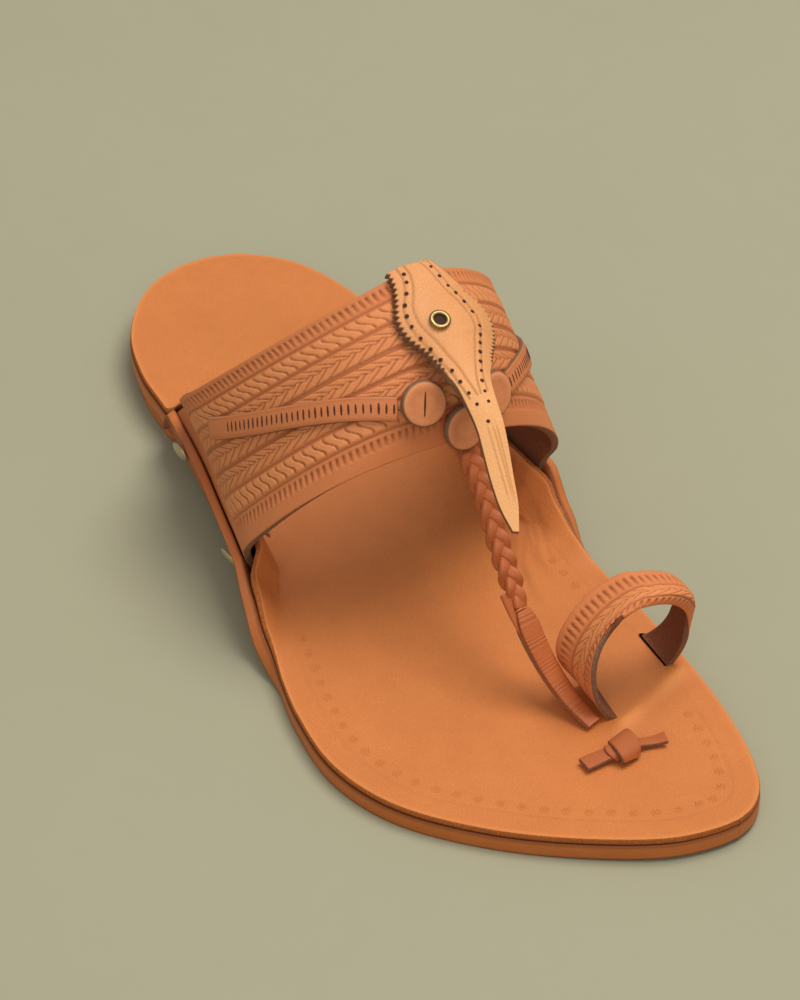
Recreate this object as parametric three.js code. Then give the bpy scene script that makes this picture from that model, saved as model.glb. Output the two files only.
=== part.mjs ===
// A right-foot kolhapuri sandal: flat stacked leather soles whose waist turns up into ears,
// a wide tooled instep strap held between those ears, a bird-head flap with a long free beak,
// three leather discs, a plaited toe thong, a big-toe ring and a lace knot.
// Millimetres. X runs from heel to toe, Y towards the big toe's side, Z up.

import * as THREE from 'three';

// ---- driving dimensions ----------------------------------------------------------------
const GAP = 0.3;                 // clearance between neighbouring pieces
const OUTSOLE_T = 4.7;           // outsole thickness
const EAR_T = 2.6;               // outsole thickness where it is turned up as an ear
const INSOLE_T = 2.0;            // insole (top sole) thickness
const INSOLE_INSET = 0.5;        // the insole's edge stands this far inside the outsole's
const STRAP_T = 2.2;             // instep strap thickness
const POCKET = STRAP_T + 1.6;    // room for the strap between an ear and the insole's wing
const HEEL_LIFT_T = 5.5;         // how far the heel lift raises the sole
const HEEL_INSET = 1.2;          // the lift's edge inside the outsole's edge
const HEEL_BREAST_X = -62;       // front face of the heel lift
const BEND = 8;                  // length of leather that bends where an ear turns up
const TOE_SPRING = 1.5;          // rise of the sole at the toe tip
const TOE_SPRING_X = 92;         // the spring starts here
const RISE_FRONT_X = 28;         // the sole is level with the floor from here forward
const RISE_REAR_X = -62;         // and at full heel height from here back
const DISC_R = 6.2;              // radius of the leather discs on the strap
const DISC_T = 2.6;
const TRIM_W = 5.8;              // slit trim strip: width and thickness
const TRIM_T = 1.3;
const FLAP_T = 1.9;
const FLAP_REST = 0.7;           // height at which the flap lies over the strap
const RING_T = 1.6;
const THONG_W = 8.6;             // plaited part of the toe thong: width and thickness
const THONG_T = 5.0;
const RIVET_R = 3.3;

// The sole's outline at the edge of the top sole, as crossing lines from the little-toe side
// to the big-toe side. Between x -98 and 98 each line runs straight across.
const OUTLINE = [
  // [lateralX, lateralY, medialX, medialY]
  [-133, 0, -133, 0],
  [-131.4, -9.5, -131.6, 9],
  [-126.5, -18.6, -127, 18],
  [-114.5, -29.6, -115, 28.2],
  [-98, -36.4, -98, 33.2],
  [-80, -39.6, -80, 33.8],
  [-60, -45.4, -60, 29.6],
  [-40, -51.8, -40, 27.4],
  [-20, -58.6, -20, 26.8],
  [0, -65.2, 0, 26.8],
  [17, -69.6, 17, 25.6],
  [35, -75.4, 35, 23.4],
  [56, -78.6, 56, 22.3],
  [76, -74.2, 76, 20.2],
  [98, -59.4, 98, 16.4],
  [117.5, -39, 115.5, 11],
  [128, -24, 126.3, 5],
  [131.9, -12.5, 131, -1],
  [132.5, -6.5, 132.5, -6.5],
];

// How the edges turn up: angle of the ear from level (degrees) and the length of its
// straight part, at each place along the sole.
const EAR_LATERAL = [
  // [x, angle, straight]
  [-140, 0, 1],
  [-82, 0, 1],
  [-72, 80, 4.6],
  [-40, 74, 9],
  [-8, 66, 13.5],
  [0, 56, 8.5],
  [9, 30, 3],
  [22, 0, 1],
  [140, 0, 1],
];
const EAR_MEDIAL = [
  // [x, angle, straight]
  [-140, 0, 1],
  [-68, 0, 1],
  [-58, 80, 5.4],
  [-30, 75, 9.6],
  [8, 68, 13.5],
  [16, 52, 6],
  [24, 28, 2.5],
  [36, 0, 1],
  [140, 0, 1],
];

// An arching band has two edges, and these columns give the rear edge and then the front one.
// foot is where each side stands, swell the degrees that it swells past upright, wide and
// tall the powers that make its flank and crown fuller (below 1) or leaner, and bow how far
// its edge bends forwards half way up. crest is the rear edge, the crown between and the
// front edge.
const STRAP = {
  lateral: {
    foot: [-71.5, -8], swell: [40, 16], wide: [1.24, 0.55], tall: [1.4, 1.25], bow: [6.7, 1.1],
  },
  medial: {
    foot: [-56, 7], swell: [37, 12], wide: [1.03, 1.22], tall: [1.4, 1.4], bow: [1, -2.2],
  },
  crest: [[-8.5, -12.4, 93.4], [15.1, -13.2, 88.2], [21.9, -14.9, 61.4]],
};
const RING = {
  lateral: {
    foot: [[70.3, -8.9], [84.8, -10]], swell: [50, 43], wide: [1.5, 1.17], tall: [1.1, 0.9],
    bow: [-8, -4.6],
  },
  medial: {
    foot: [[63.8, 15.5], [76.7, 14]], swell: [38, 41], wide: [0.96, 1.09], tall: [0.74, 0.78],
    bow: [8, 5.2],
  },
  crest: [[72.1, 4.8, 40.6], [85, 3.9, 42.3], [81.5, -0.1, 39.5]],
};

// The bird-head flap: its lateral and medial edges from the rear end to the beak's tip, and
// how high its middle stands over a straight line between them.
const FLAP = [
  // [lateral x, y, z, medial x, y, z, crown]
  [-8.2, -15.5, 96.4, -8.6, -2.5, 95, 0.8],
  [-4, -16.6, 95.2, -3.6, -0.4, 93, 1.4],
  [-0.6, -18.4, 93.8, 0.4, 1.6, 90.4, 2.4],
  [4, -21.1, 91, 3.8, 4.8, 86.6, 4],
  [8.8, -21.2, 88.6, 7.8, 6.2, 82.8, 5.4],
  [14, -19.4, 86.8, 12.4, 4.4, 81, 5.2],
  [20, -18.9, 85.6, 18.8, -0.6, 81.4, 3.2],
  [26.4, -18.6, 84.4, 26.6, -7.8, 82.6, 1.3],
  [32.1, -19, 81.1, 32.6, -10.9, 81.8, 0.6],
  [37.6, -19.8, 77.4, 39, -12.8, 77.9, 0.4],
  [43.1, -21.6, 73.4, 44.8, -15.2, 73.6, 0.3],
  [48.6, -23.4, 69.5, 50.2, -17.7, 69.6, 0.2],
  [54.3, -24.7, 65.5, 55.6, -20.2, 65.6, 0.1],
  [59.8, -24.9, 61.9, 60.6, -23.6, 61.7, 0],
];
const EYELET_AT = [0.298, -0.34]; // share of the flap's length, and across as below

// The toe thong, from under the strap's front edge down to the sole.
const THONG = [
  // [x, y, z]
  [25.6, -13.4, 57.2],
  [34, -15.2, 52.6],
  [42, -17.4, 46.4],
  [50, -19.2, 39.4],
  [57.5, -20.2, 31.6],
  [64, -20, 23.6],
  [71, -18.8, 16],
  [78, -17.2, 10.8],
  [84, -15.9, 8.3],
];
const THONG_PLAIT_END = 4;       // row of THONG where the plait gives way to a folded strip

// The lace knot in front of the toe ring, along the lace.
const KNOT = [
  // [x, y, z, width, thickness]
  [95.2, -27.4, 8.5, 4.2, 1.4],
  [95.1, -20.5, 8.9, 4.2, 1.8],
  [95.6, -17.5, 10, 8, 4],
  [96, -13, 10, 8, 4],
  [97.4, -9.5, 9, 3.6, 2],
  [99.2, -4, 8.7, 3.2, 1.5],
];

// The discs on the strap and the ends of the slit trim, as places on the strap's surface:
// u runs from the lateral foot to the medial foot, v from the rear edge to the front edge.
const DISCS = { lateral: [0.473, 0.742], middle: [0.508, 0.925], medial: [0.585, 0.8] };
const TRIM = {
  lateral: { from: [0.16, 0.28], to: [0.432, 0.712] },
  medial: { from: [0.86, 0.32], to: [0.64, 0.745] },
};
// Rivets through ear, strap and wing: place along the sole and share of the way down.
const RIVETS = {
  rear: { lateral: -58, medial: -45, down: 0.32 },
  front: { lateral: -16, medial: -1, down: 0.42 },
};

const LEATHER = { color: 0xc87842, roughness: 0.55, metalness: 0 };
const TOOLED = { color: 0xb8693c, roughness: 0.6, metalness: 0 };
const SOLE_EDGE = { color: 0xb4622f, roughness: 0.6, metalness: 0 };
const PALE = { color: 0xd99a6c, roughness: 0.6, metalness: 0 };
const BRASS = { color: 0xb59a5b, roughness: 0.35, metalness: 1 };

const V = (x, y, z) => new THREE.Vector3(x, y, z);
const rad = THREE.MathUtils.degToRad;
const lerp = THREE.MathUtils.lerp;
const smooth = THREE.MathUtils.smoothstep;
const UP = V(0, 0, 1);

// ---- helpers that make closed solids ---------------------------------------------------

// A closed solid between two grids of points with the same rows and columns.
function shell(outer, inner) {
  const rows = outer.length;
  const cols = outer[0].length;
  const position = [];
  for (const grid of [outer, inner]) {
    for (const row of grid) {
      for (const p of row) position.push(p.x, p.y, p.z);
    }
  }
  const at = (side, i, j) => side * rows * cols + i * cols + j;
  const index = [];
  const quad = (a, b, c, d) => index.push(a, b, c, a, c, d);
  for (let i = 0; i + 1 < rows; i++) {
    for (let j = 0; j + 1 < cols; j++) {
      quad(at(0, i, j), at(0, i, j + 1), at(0, i + 1, j + 1), at(0, i + 1, j));
      quad(at(1, i, j), at(1, i + 1, j), at(1, i + 1, j + 1), at(1, i, j + 1));
    }
  }
  for (let j = 0; j + 1 < cols; j++) {
    quad(at(1, 0, j), at(1, 0, j + 1), at(0, 0, j + 1), at(0, 0, j));
    quad(at(0, rows - 1, j), at(0, rows - 1, j + 1), at(1, rows - 1, j + 1), at(1, rows - 1, j));
  }
  for (let i = 0; i + 1 < rows; i++) {
    quad(at(0, i, 0), at(0, i + 1, 0), at(1, i + 1, 0), at(1, i, 0));
    quad(at(1, i, cols - 1), at(1, i + 1, cols - 1), at(0, i + 1, cols - 1), at(0, i, cols - 1));
  }
  return facingOut(position, index);
}

// A closed solid through a row of rings, each ring the same number of points.
function loft(rings) {
  const n = rings[0].length;
  const position = rings.flat().flatMap((p) => [p.x, p.y, p.z]);
  const index = [];
  for (let i = 0; i + 1 < rings.length; i++) {
    for (let j = 0; j < n; j++) {
      const a = i * n + j;
      const b = i * n + (j + 1) % n;
      index.push(a, b, b + n, a, b + n, a + n);
    }
  }
  const last = (rings.length - 1) * n;
  for (let j = 1; j + 1 < n; j++) {
    index.push(0, j + 1, j);
    index.push(last, last + j, last + j + 1);
  }
  return facingOut(position, index);
}

// The geometry with its faces turned outwards, whichever way they were wound.
function facingOut(position, index) {
  let volume = 0;
  const corner = (k) => V(position[3 * k], position[3 * k + 1], position[3 * k + 2]);
  for (let k = 0; k < index.length; k += 3) {
    const [a, b, c] = [corner(index[k]), corner(index[k + 1]), corner(index[k + 2])];
    volume += a.dot(b.cross(c));
  }
  if (volume < 0) index.reverse();
  const geometry = new THREE.BufferGeometry();
  geometry.setAttribute('position', new THREE.Float32BufferAttribute(position, 3));
  geometry.setIndex(index);
  return geometry;
}

// Reads a column of a table at x, its first column, easing from row to row.
function read(table, x, column) {
  let i = 1;
  while (i < table.length - 1 && table[i][0] < x) i++;
  const [a, b] = [table[i - 1], table[i]];
  const f = THREE.MathUtils.clamp((x - a[0]) / (b[0] - a[0]), 0, 1);
  const eased = f * f * (3 - 2 * f);
  return lerp(a[column], b[column], lerp(f, eased, 0.6));
}

// ---- the sole's shape ------------------------------------------------------------------

const lateralEdge = new THREE.CatmullRomCurve3(OUTLINE.map((r) => V(r[0], r[1], 0)));
const medialEdge = new THREE.CatmullRomCurve3(OUTLINE.map((r) => V(r[2], r[3], 0)));

// Height of the outsole's top face over the floor.
function bedHeight(x) {
  const rise = HEEL_LIFT_T * (1 - smooth(x, RISE_REAR_X, RISE_FRONT_X));
  const spring = TOE_SPRING * Math.max(0, (x - TOE_SPRING_X) / (133 - TOE_SPRING_X)) ** 2;
  return OUTSOLE_T + rise + spring;
}

// One ear's section, from its tip to the end of the bend: distance in from the tip,
// height over the bed and the angle of the leather there.
function earSection(table, x, width) {
  const angle = rad(read(table, x, 1));
  const bend = Math.min(BEND, 0.2 * width);
  const straight = Math.min(read(table, x, 2), 0.08 * width + read(table, x, 1) / 4);
  const points = [];
  const bendSteps = 4;
  const reach = (f) => (angle < 1e-4 ? bend * f : (bend / angle) * Math.sin(angle * f));
  const climb = (f) => (angle < 1e-4 ? 0 : (bend / angle) * (1 - Math.cos(angle * f)));
  for (let k = 0; k <= bendSteps; k++) {
    const f = k / bendSteps;
    points.push({ reach: reach(f), climb: climb(f), angle: angle * f });
  }
  const end = points[bendSteps];
  for (const f of [0.5, 1]) {
    points.push({
      reach: end.reach + straight * f * Math.cos(angle),
      climb: end.climb + straight * f * Math.sin(angle),
      angle,
    });
  }
  const tip = points[points.length - 1].reach;
  return points.reverse().map((p) => ({ in: tip - p.reach, up: p.climb, angle: p.angle }));
}

// The outsole's top face along one crossing line t, as points with their normals.
// Every piece of the sole and the strap's feet are offset from this face.
function crossing(t, inset = 0) {
  const a = lateralEdge.getPoint(t);
  const b = medialEdge.getPoint(t);
  const across = b.clone().sub(a);
  const width = across.length() - 2 * inset;
  across.normalize();
  a.addScaledVector(across, inset);
  b.addScaledVector(across, -inset);
  const left = earSection(EAR_LATERAL, a.x, width);
  const right = earSection(EAR_MEDIAL, b.x, width);
  const place = (along, up, tilt) => {
    const p = a.clone().addScaledVector(across, along);
    p.z = bedHeight(p.x) + up;
    const n = across.clone().multiplyScalar(Math.sin(tilt)).addScaledVector(UP, Math.cos(tilt));
    return { p, n };
  };
  const row = left.map((q) => place(q.in, q.up, q.angle));
  const from = left[left.length - 1].in;
  const to = width - right[right.length - 1].in;
  const flatSteps = 5;
  for (let k = 1; k < flatSteps; k++) row.push(place(lerp(from, to, k / flatSteps), 0, 0));
  row.push(...right.reverse().map((q) => place(width - q.in, q.up, -q.angle)));
  return row;
}

// Crossing lines, close together at the round ends and round the ears.
function crossings() {
  const ends = [0.012, 0.03, 0.055, 0.08, 0.11, 0.15, 0.19];
  const middle = [];
  for (let k = 0; k <= 24; k++) middle.push(0.225 + k * 0.0185);
  const front = [0.7, 0.735, 0.77, 0.81, 0.85, 0.89, 0.92, 0.945, 0.97, 0.988];
  return [...ends, ...middle, ...front];
}

const STATIONS = crossings();
const lift = (row, distance) => row.map(({ p, n }, j) => {
  const d = typeof distance === 'function' ? distance(p, n, j) : distance;
  return p.clone().addScaledVector(n, d);
});

function outsole() {
  const rows = STATIONS.map((t) => crossing(t));
  const thickness = (p, n) => -lerp(EAR_T, OUTSOLE_T, smooth(n.z, 0.3, 1));
  return shell(rows.map((row) => lift(row, 0)), rows.map((row) => lift(row, thickness)));
}

// How much of the strap lies behind the insole's wing at x, from 0 to 1.
function strapBehind(x, side) {
  const [rear, front] = (side < 0 ? STRAP.lateral : STRAP.medial).foot;
  const ease = 5;
  return smooth(x, rear - ease, rear - 0.5) * (1 - smooth(x, front + 0.5, front + ease));
}

function insole() {
  const rows = STATIONS.map((t) => crossing(t, INSOLE_INSET));
  const under = (p, n, j) => {
    const pocket = POCKET * strapBehind(p.x, j < rows[0].length / 2 ? -1 : 1);
    return GAP + pocket * smooth(1 - n.z, 0.02, 0.3);
  };
  const over = (p, n, j) => under(p, n, j) + INSOLE_T;
  return shell(rows.map((row) => lift(row, over)), rows.map((row) => lift(row, under)));
}

// The heel lift: the sole's outline from the breast back, tucked in under the ears, flat on
// the floor.
function heelLift() {
  const sides = [[], []];
  const flatStart = 6;
  const fullTuck = 60;
  for (let t = 0.02; t < 0.42; t += 0.02) {
    const row = crossing(t, HEEL_INSET);
    [EAR_LATERAL, EAR_MEDIAL].forEach((ear, side) => {
      if (side === 1) row.reverse();
      const edge = row[0].p;
      if (edge.x > HEEL_BREAST_X) return;
      const tuck = Math.min(1, read(ear, edge.x, 1) / fullTuck);
      sides[side].push(edge.clone().lerp(row[flatStart].p, tuck));
    });
  }
  const [lateral, medial] = sides;
  const ring = [...lateral.reverse(), V(OUTLINE[0][0] + HEEL_INSET, 0, 0), ...medial];
  const from = ring[ring.length - 1];
  const to = ring[0];
  const [bow, steps] = [5, 6];
  for (let k = 1; k < steps; k++) {
    const p = from.clone().lerp(to, k / steps);
    ring.push(p.add(V(-bow * Math.sin((Math.PI * k) / steps), 0, 0)));
  }
  const top = (p) => bedHeight(p.x) - OUTSOLE_T - GAP;
  return loft([ring.map((p) => V(p.x, p.y, 0)), ring.map((p) => V(p.x, p.y, top(p)))]);
}

// ---- bands that arch from one side of the sole to the other -----------------------------

// A point on an arching band: u runs from the lateral foot over the crest to the medial
// foot, v from the rear edge to the front edge. feet are the two feet's places at v.
function archPoint(band, feet, u, v) {
  const side = u < 0.5 ? band.lateral : band.medial;
  const at = (column) => lerp(side[column][0], side[column][1], v);
  const up = u < 0.5 ? 2 * u : 2 * (1 - u);
  const swell = rad(at('swell'));
  const angle = lerp(-swell, Math.PI / 2, up);
  const power = (value, exponent) => Math.sign(value) * Math.abs(value) ** exponent;
  const middle = feet[0].clone().add(feet[1]).multiplyScalar(0.5);
  const half = feet[u < 0.5 ? 0 : 1].clone().sub(middle).divideScalar(Math.cos(swell));
  const rise = bezier(band.crest, v).sub(middle).divideScalar(1 + Math.sin(swell));
  const p = middle.clone().addScaledVector(rise, Math.sin(swell));
  p.addScaledVector(half, power(Math.cos(angle), at('wide')));
  p.addScaledVector(rise, power(Math.sin(angle), at('tall')));
  p.x += at('bow') * Math.sin(Math.PI * up);
  return p;
}

const bezier = (points, v) => new THREE.QuadraticBezierCurve3(
  ...points.map((p) => V(...p)),
).getPoint(v);

// Where the strap's inner or outer face stands against an ear, at x and a share of the
// way down from the ear's tip.
function againstEar(side, x, down, offset) {
  const curve = side < 0 ? lateralEdge : medialEdge;
  let [low, high] = [0.15, 0.75];
  for (let k = 0; k < 30; k++) {
    const t = (low + high) / 2;
    if (curve.getPoint(t).x < x) low = t;
    else high = t;
  }
  const row = crossing((low + high) / 2);
  const ear = side < 0 ? row : [...row].reverse();
  const straightEnd = ear[2].p;
  const p = ear[0].p.clone().lerp(straightEnd, down);
  return p.addScaledVector(ear[0].n, offset);
}

const strapFootX = (side, v) => lerp(...(side < 0 ? STRAP.lateral : STRAP.medial).foot, v);

// The strap's middle surface between the two ear tips.
function strapSurface(u, v) {
  const offset = GAP + STRAP_T / 2;
  const a = againstEar(-1, strapFootX(-1, v), 0, offset);
  const b = againstEar(1, strapFootX(1, v), 0, offset);
  return archPoint(STRAP, [a, b], u, v);
}

// Outward normal of a surface of u and v, by small steps.
function normalOf(surface, u, v) {
  const e = 0.004;
  const du = surface(u + e, v).sub(surface(u - e, v));
  const dv = surface(u, Math.min(1, v + e)).sub(surface(u, Math.max(0, v - e)));
  return du.cross(dv).normalize().negate();
}

const STRAP_U = 40;
const STRAP_V = 9;

function strap() {
  const outer = [];
  const inner = [];
  for (let j = 0; j <= STRAP_V; j++) {
    const v = j / STRAP_V;
    const out = [];
    const back = [];
    const feet = (side, downs) => downs.forEach((down) => {
      out.push(againstEar(side, strapFootX(side, v), down, GAP));
      back.push(againstEar(side, strapFootX(side, v), down, GAP + STRAP_T));
    });
    feet(-1, [0.85, 0.4]);
    for (let i = 0; i <= STRAP_U; i++) {
      const u = i / STRAP_U;
      const p = strapSurface(u, v);
      const n = normalOf(strapSurface, u, v);
      out.push(p.clone().addScaledVector(n, STRAP_T / 2));
      back.push(p.clone().addScaledVector(n, -STRAP_T / 2));
    }
    feet(1, [0.4, 0.85]);
    outer.push(out);
    inner.push(back);
  }
  return shell(outer, inner);
}

// ---- toe ring --------------------------------------------------------------------------

function ringSurface(u, v) {
  const feet = [RING.lateral, RING.medial].map(({ foot: [rear, front] }) => {
    const x = lerp(rear[0], front[0], v);
    return V(x, lerp(rear[1], front[1], v), bedHeight(x) + INSOLE_T + 2 * GAP);
  });
  return archPoint(RING, feet, u, v);
}

function toeRing() {
  const outer = [];
  const inner = [];
  const [along, wide] = [26, 3];
  const base = (p) => {
    p.z = Math.max(p.z, bedHeight(p.x) + INSOLE_T + 2 * GAP);
    return p;
  };
  for (let j = 0; j <= wide; j++) {
    const out = [];
    const back = [];
    for (let i = 0; i <= along; i++) {
      const p = ringSurface(i / along, j / wide);
      const n = normalOf(ringSurface, i / along, j / wide);
      out.push(base(p.clone().addScaledVector(n, RING_T / 2)));
      back.push(base(p.clone().addScaledVector(n, -RING_T / 2)));
    }
    outer.push(out);
    inner.push(back);
  }
  return shell(outer, inner);
}

// ---- pieces on the strap ---------------------------------------------------------------

// A frame on the strap's outer face: position, outward normal and the direction forward.
function onStrap(u, v, height) {
  const n = normalOf(strapSurface, u, v);
  const e = 0.01;
  const forward = strapSurface(u, v + e).sub(strapSurface(u, v - e)).normalize();
  const p = strapSurface(u, v).addScaledVector(n, STRAP_T / 2 + height);
  return { p, n, forward };
}

// A round piece on a frame: rings of a radius at a height over the frame's plane.
function turned(frame, profile, sides, closed = false) {
  const side = frame.n.clone().cross(frame.forward).normalize();
  const ahead = side.clone().cross(frame.n);
  const ring = ([r, h]) => Array.from({ length: sides }, (_, k) => {
    const a = (2 * Math.PI * k) / sides;
    return frame.p.clone()
      .addScaledVector(side, r * Math.cos(a))
      .addScaledVector(ahead, r * Math.sin(a))
      .addScaledVector(frame.n, h);
  });
  const rings = profile.map(ring);
  return closed ? torus(rings) : loft(rings);
}

// A ring of closed section: the rings of points follow one another and meet again.
function torus(rings) {
  const n = rings[0].length;
  const position = rings.flat().flatMap((p) => [p.x, p.y, p.z]);
  const index = [];
  for (let i = 0; i < rings.length; i++) {
    for (let j = 0; j < n; j++) {
      const a = i * n + j;
      const b = i * n + (j + 1) % n;
      const c = ((i + 1) % rings.length) * n + (j + 1) % n;
      const d = ((i + 1) % rings.length) * n + j;
      index.push(a, b, c, a, c, d);
    }
  }
  return facingOut(position, index);
}

function disc([u, v]) {
  const bevel = 0.8;
  const profile = [
    [DISC_R - bevel, 0],
    [DISC_R, bevel],
    [DISC_R, DISC_T - bevel],
    [DISC_R - 2 * bevel, DISC_T],
  ];
  const clearOfCurve = 1.1;
  return turned(onStrap(u, v, clearOfCurve), profile, 20);
}

// The slit trim: a narrow strip laid on the strap from an ear up to a disc.
function trim({ from, to }) {
  const steps = 14;
  const top = [];
  const under = [];
  for (let k = 0; k <= steps; k++) {
    const u = lerp(from[0], to[0], k / steps);
    const v = lerp(from[1], to[1], k / steps);
    const e = 0.01;
    const perV = strapSurface(u, v + e).sub(strapSurface(u, v - e)).length() / (2 * e);
    const halfV = TRIM_W / 2 / perV;
    const row = (height) => [-1, 0, 1].map((a) => onStrap(u, v + a * halfV, height).p);
    top.push(row(GAP + TRIM_T));
    under.push(row(GAP));
  }
  return shell(top, under);
}

// ---- flap, eyelet, thong, knot and rivets ------------------------------------------------

// Height of the strap's outer face over a place on its crest, or none beyond its edges.
function strapTop(x, y) {
  let [u, v] = [0.5, 0.4];
  const e = 0.004;
  for (let k = 0; k < 7; k++) {
    const p = strapSurface(u, v);
    const du = strapSurface(u + e, v).sub(p).divideScalar(e);
    const dv = strapSurface(u, v + e).sub(p).divideScalar(e);
    const area = du.x * dv.y - du.y * dv.x;
    u += ((x - p.x) * dv.y - (y - p.y) * dv.x) / area;
    v += ((y - p.y) * du.x - (x - p.x) * du.y) / area;
    u = THREE.MathUtils.clamp(u, 0.3, 0.7);
    v = THREE.MathUtils.clamp(v, 0, 1);
  }
  const p = strapSurface(u, v);
  const n = normalOf(strapSurface, u, v);
  const missed = Math.hypot(x - p.x, y - p.y) > FLAP_REST;
  return missed ? -Infinity : p.z + STRAP_T / 2 / n.z;
}

const flapEdges = [0, 3].map((c) => new THREE.CatmullRomCurve3(
  FLAP.map((r) => V(r[c], r[c + 1], r[c + 2])),
));

// The flap's underside at a share f of its rows and a across, from -1 (lateral) to 1, with
// the sheet's upward normal.
function flapPoint(f, a) {
  const [lateral, medial] = flapEdges.map((edge) => edge.getPoint(f));
  const side = medial.clone().sub(lateral).normalize();
  const forward = flapEdges[0].getTangent(f).add(flapEdges[1].getTangent(f));
  const n = forward.cross(side).normalize();
  const at = f * (FLAP.length - 1);
  const i = Math.min(Math.floor(at), FLAP.length - 2);
  const crown = lerp(FLAP[i][6], FLAP[i + 1][6], at - i);
  const p = lateral.lerp(medial, (a + 1) / 2);
  p.addScaledVector(n, crown * (1 - a * a) - FLAP_T);
  p.z = Math.max(p.z, strapTop(p.x, p.y) + FLAP_REST);
  return { p, n };
}

function flap() {
  const steps = 28;
  const across = [-1, -0.6, -0.2, 0.2, 0.6, 1];
  const rows = Array.from({ length: steps + 1 }, (_, k) => across.map((a) => flapPoint(k / steps, a)));
  return shell(
    rows.map((row) => row.map(({ p, n }) => p.clone().addScaledVector(n, FLAP_T))),
    rows.map((row) => row.map(({ p }) => p)),
  );
}

function eyelet() {
  const [f, a] = EYELET_AT;
  const { p } = flapPoint(f, a);
  const ahead = flapPoint(f + 0.02, a).p.sub(p);
  const side = flapPoint(f, a + 0.1).p.sub(p);
  const n = ahead.clone().cross(side).normalize();
  p.addScaledVector(n, FLAP_T + 2 * GAP);
  const profile = [[1.5, 0], [2.9, 0], [2.7, 0.6], [2.1, 0.9], [1.5, 0.6]];
  return turned({ p, n, forward: ahead.normalize() }, profile, 20, true);
}

// A flat-sided rope or lace along a curve. Its width lies along one direction.
function strand(points, section, widthDirection, steps) {
  const curve = new THREE.CatmullRomCurve3(points.map((p) => V(p[0], p[1], p[2])));
  const outline = [[1, 0.45], [0.72, 1], [-0.72, 1], [-1, 0.45], [-1, -0.45], [-0.72, -1],
    [0.72, -1], [1, -0.45]];
  const rings = [];
  for (let k = 0; k <= steps; k++) {
    const f = k / steps;
    const p = curve.getPoint(f);
    const tangent = curve.getTangent(f);
    const wide = widthDirection.clone();
    wide.addScaledVector(tangent, -wide.dot(tangent)).normalize();
    const thick = tangent.clone().cross(wide).normalize();
    const [w, h] = section(f);
    rings.push(outline.map(([a, b]) => p.clone()
      .addScaledVector(wide, (a * w) / 2)
      .addScaledVector(thick, (b * h) / 2)));
  }
  return loft(rings);
}

function braid() {
  const rows = THONG.slice(0, THONG_PLAIT_END + 1);
  return strand(rows, () => [THONG_W, THONG_T], V(0, 1, 0), 14);
}

function toeThong() {
  const rows = THONG.slice(THONG_PLAIT_END);
  const [first, second] = rows;
  const clear = 0.08;
  const start = first.map((value, i) => lerp(value, second[i], clear));
  const folded = [7, 3.8];
  const foot = [4.6, 1.8];
  const section = (f) => [lerp(folded[0], foot[0], f), lerp(folded[1], foot[1], f)];
  return strand([start, ...rows.slice(1)], section, V(0, 1, 0), 10);
}

function knot() {
  const section = (f) => {
    const at = f * (KNOT.length - 1);
    const i = Math.min(Math.floor(at), KNOT.length - 2);
    return [3, 4].map((column) => lerp(KNOT[i][column], KNOT[i + 1][column], at - i));
  };
  return strand(KNOT, section, V(1, 0, 0), 14);
}

// One head of a rivet, on the outside of an ear or on the inside of the insole's wing.
function rivetHead(side, x, down, outside) {
  const inner = GAP + POCKET + INSOLE_T + INSOLE_INSET;
  const clearOfCurve = outside ? 1.1 : 0.9;
  const offset = outside ? -EAR_T - clearOfCurve : inner + clearOfCurve;
  const p = againstEar(side, x, down, offset);
  const n = againstEar(side, x, down, offset + 1).sub(p).normalize();
  if (outside) n.negate();
  const forward = V(1, 0, 0);
  forward.addScaledVector(n, -forward.dot(n)).normalize();
  const profile = [[RIVET_R, 0], [RIVET_R * 0.92, 0.6], [RIVET_R * 0.5, 1.1]];
  return turned({ p, n, forward }, profile, 14);
}

// ---- the sandal ------------------------------------------------------------------------

function sandal() {
  const shoe = new THREE.Group();
  const add = (name, geometry, look) => {
    const mesh = new THREE.Mesh(geometry, new THREE.MeshStandardMaterial(look));
    mesh.name = name;
    shoe.add(mesh);
  };
  add('heel_lift', heelLift(), SOLE_EDGE);
  add('outsole', outsole(), SOLE_EDGE);
  add('insole', insole(), LEATHER);
  add('strap', strap(), TOOLED);
  add('toe_ring', toeRing(), TOOLED);
  for (const [name, place] of Object.entries(DISCS)) add(`disc_${name}`, disc(place), LEATHER);
  for (const [name, ends] of Object.entries(TRIM)) add(`trim_${name}`, trim(ends), TOOLED);
  add('flap', flap(), PALE);
  add('eyelet', eyelet(), BRASS);
  add('braid', braid(), TOOLED);
  add('toe_thong', toeThong(), TOOLED);
  add('lace_knot', knot(), TOOLED);
  for (const [place, rivet] of Object.entries(RIVETS)) {
    for (const [name, side] of [['lateral', -1], ['medial', 1]]) {
      for (const [face, outside] of [['outer', true], ['inner', false]]) {
        if (place === 'rear' && !outside) continue;
        const head = rivetHead(side, rivet[name], rivet.down, outside);
        add(`rivet_${place}_${name}_${face}`, head, BRASS);
      }
    }
  }
  const box = new THREE.Box3().setFromObject(shoe);
  const middle = box.getCenter(V(0, 0, 0));
  shoe.position.set(-middle.x, -middle.y, -box.min.z);
  return shoe;
}

export default sandal();
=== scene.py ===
"""Looks of the kolhapuri sandal: stacked soles with turned-up ears, a tooled instep strap, a
bird-head flap, discs, slit trims, a plaited toe thong, a toe ring and a lace knot.

Shapes are worked out in millimetres, X from heel to toe, Y to the big toe's side, Z up, and
set_down() brings them to the frame of the CAD part, in metres.
"""

import math

import bpy
import numpy as np
from bpy.props import FloatProperty, FloatVectorProperty, IntProperty, PointerProperty
from mathutils import Matrix, Vector


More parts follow.
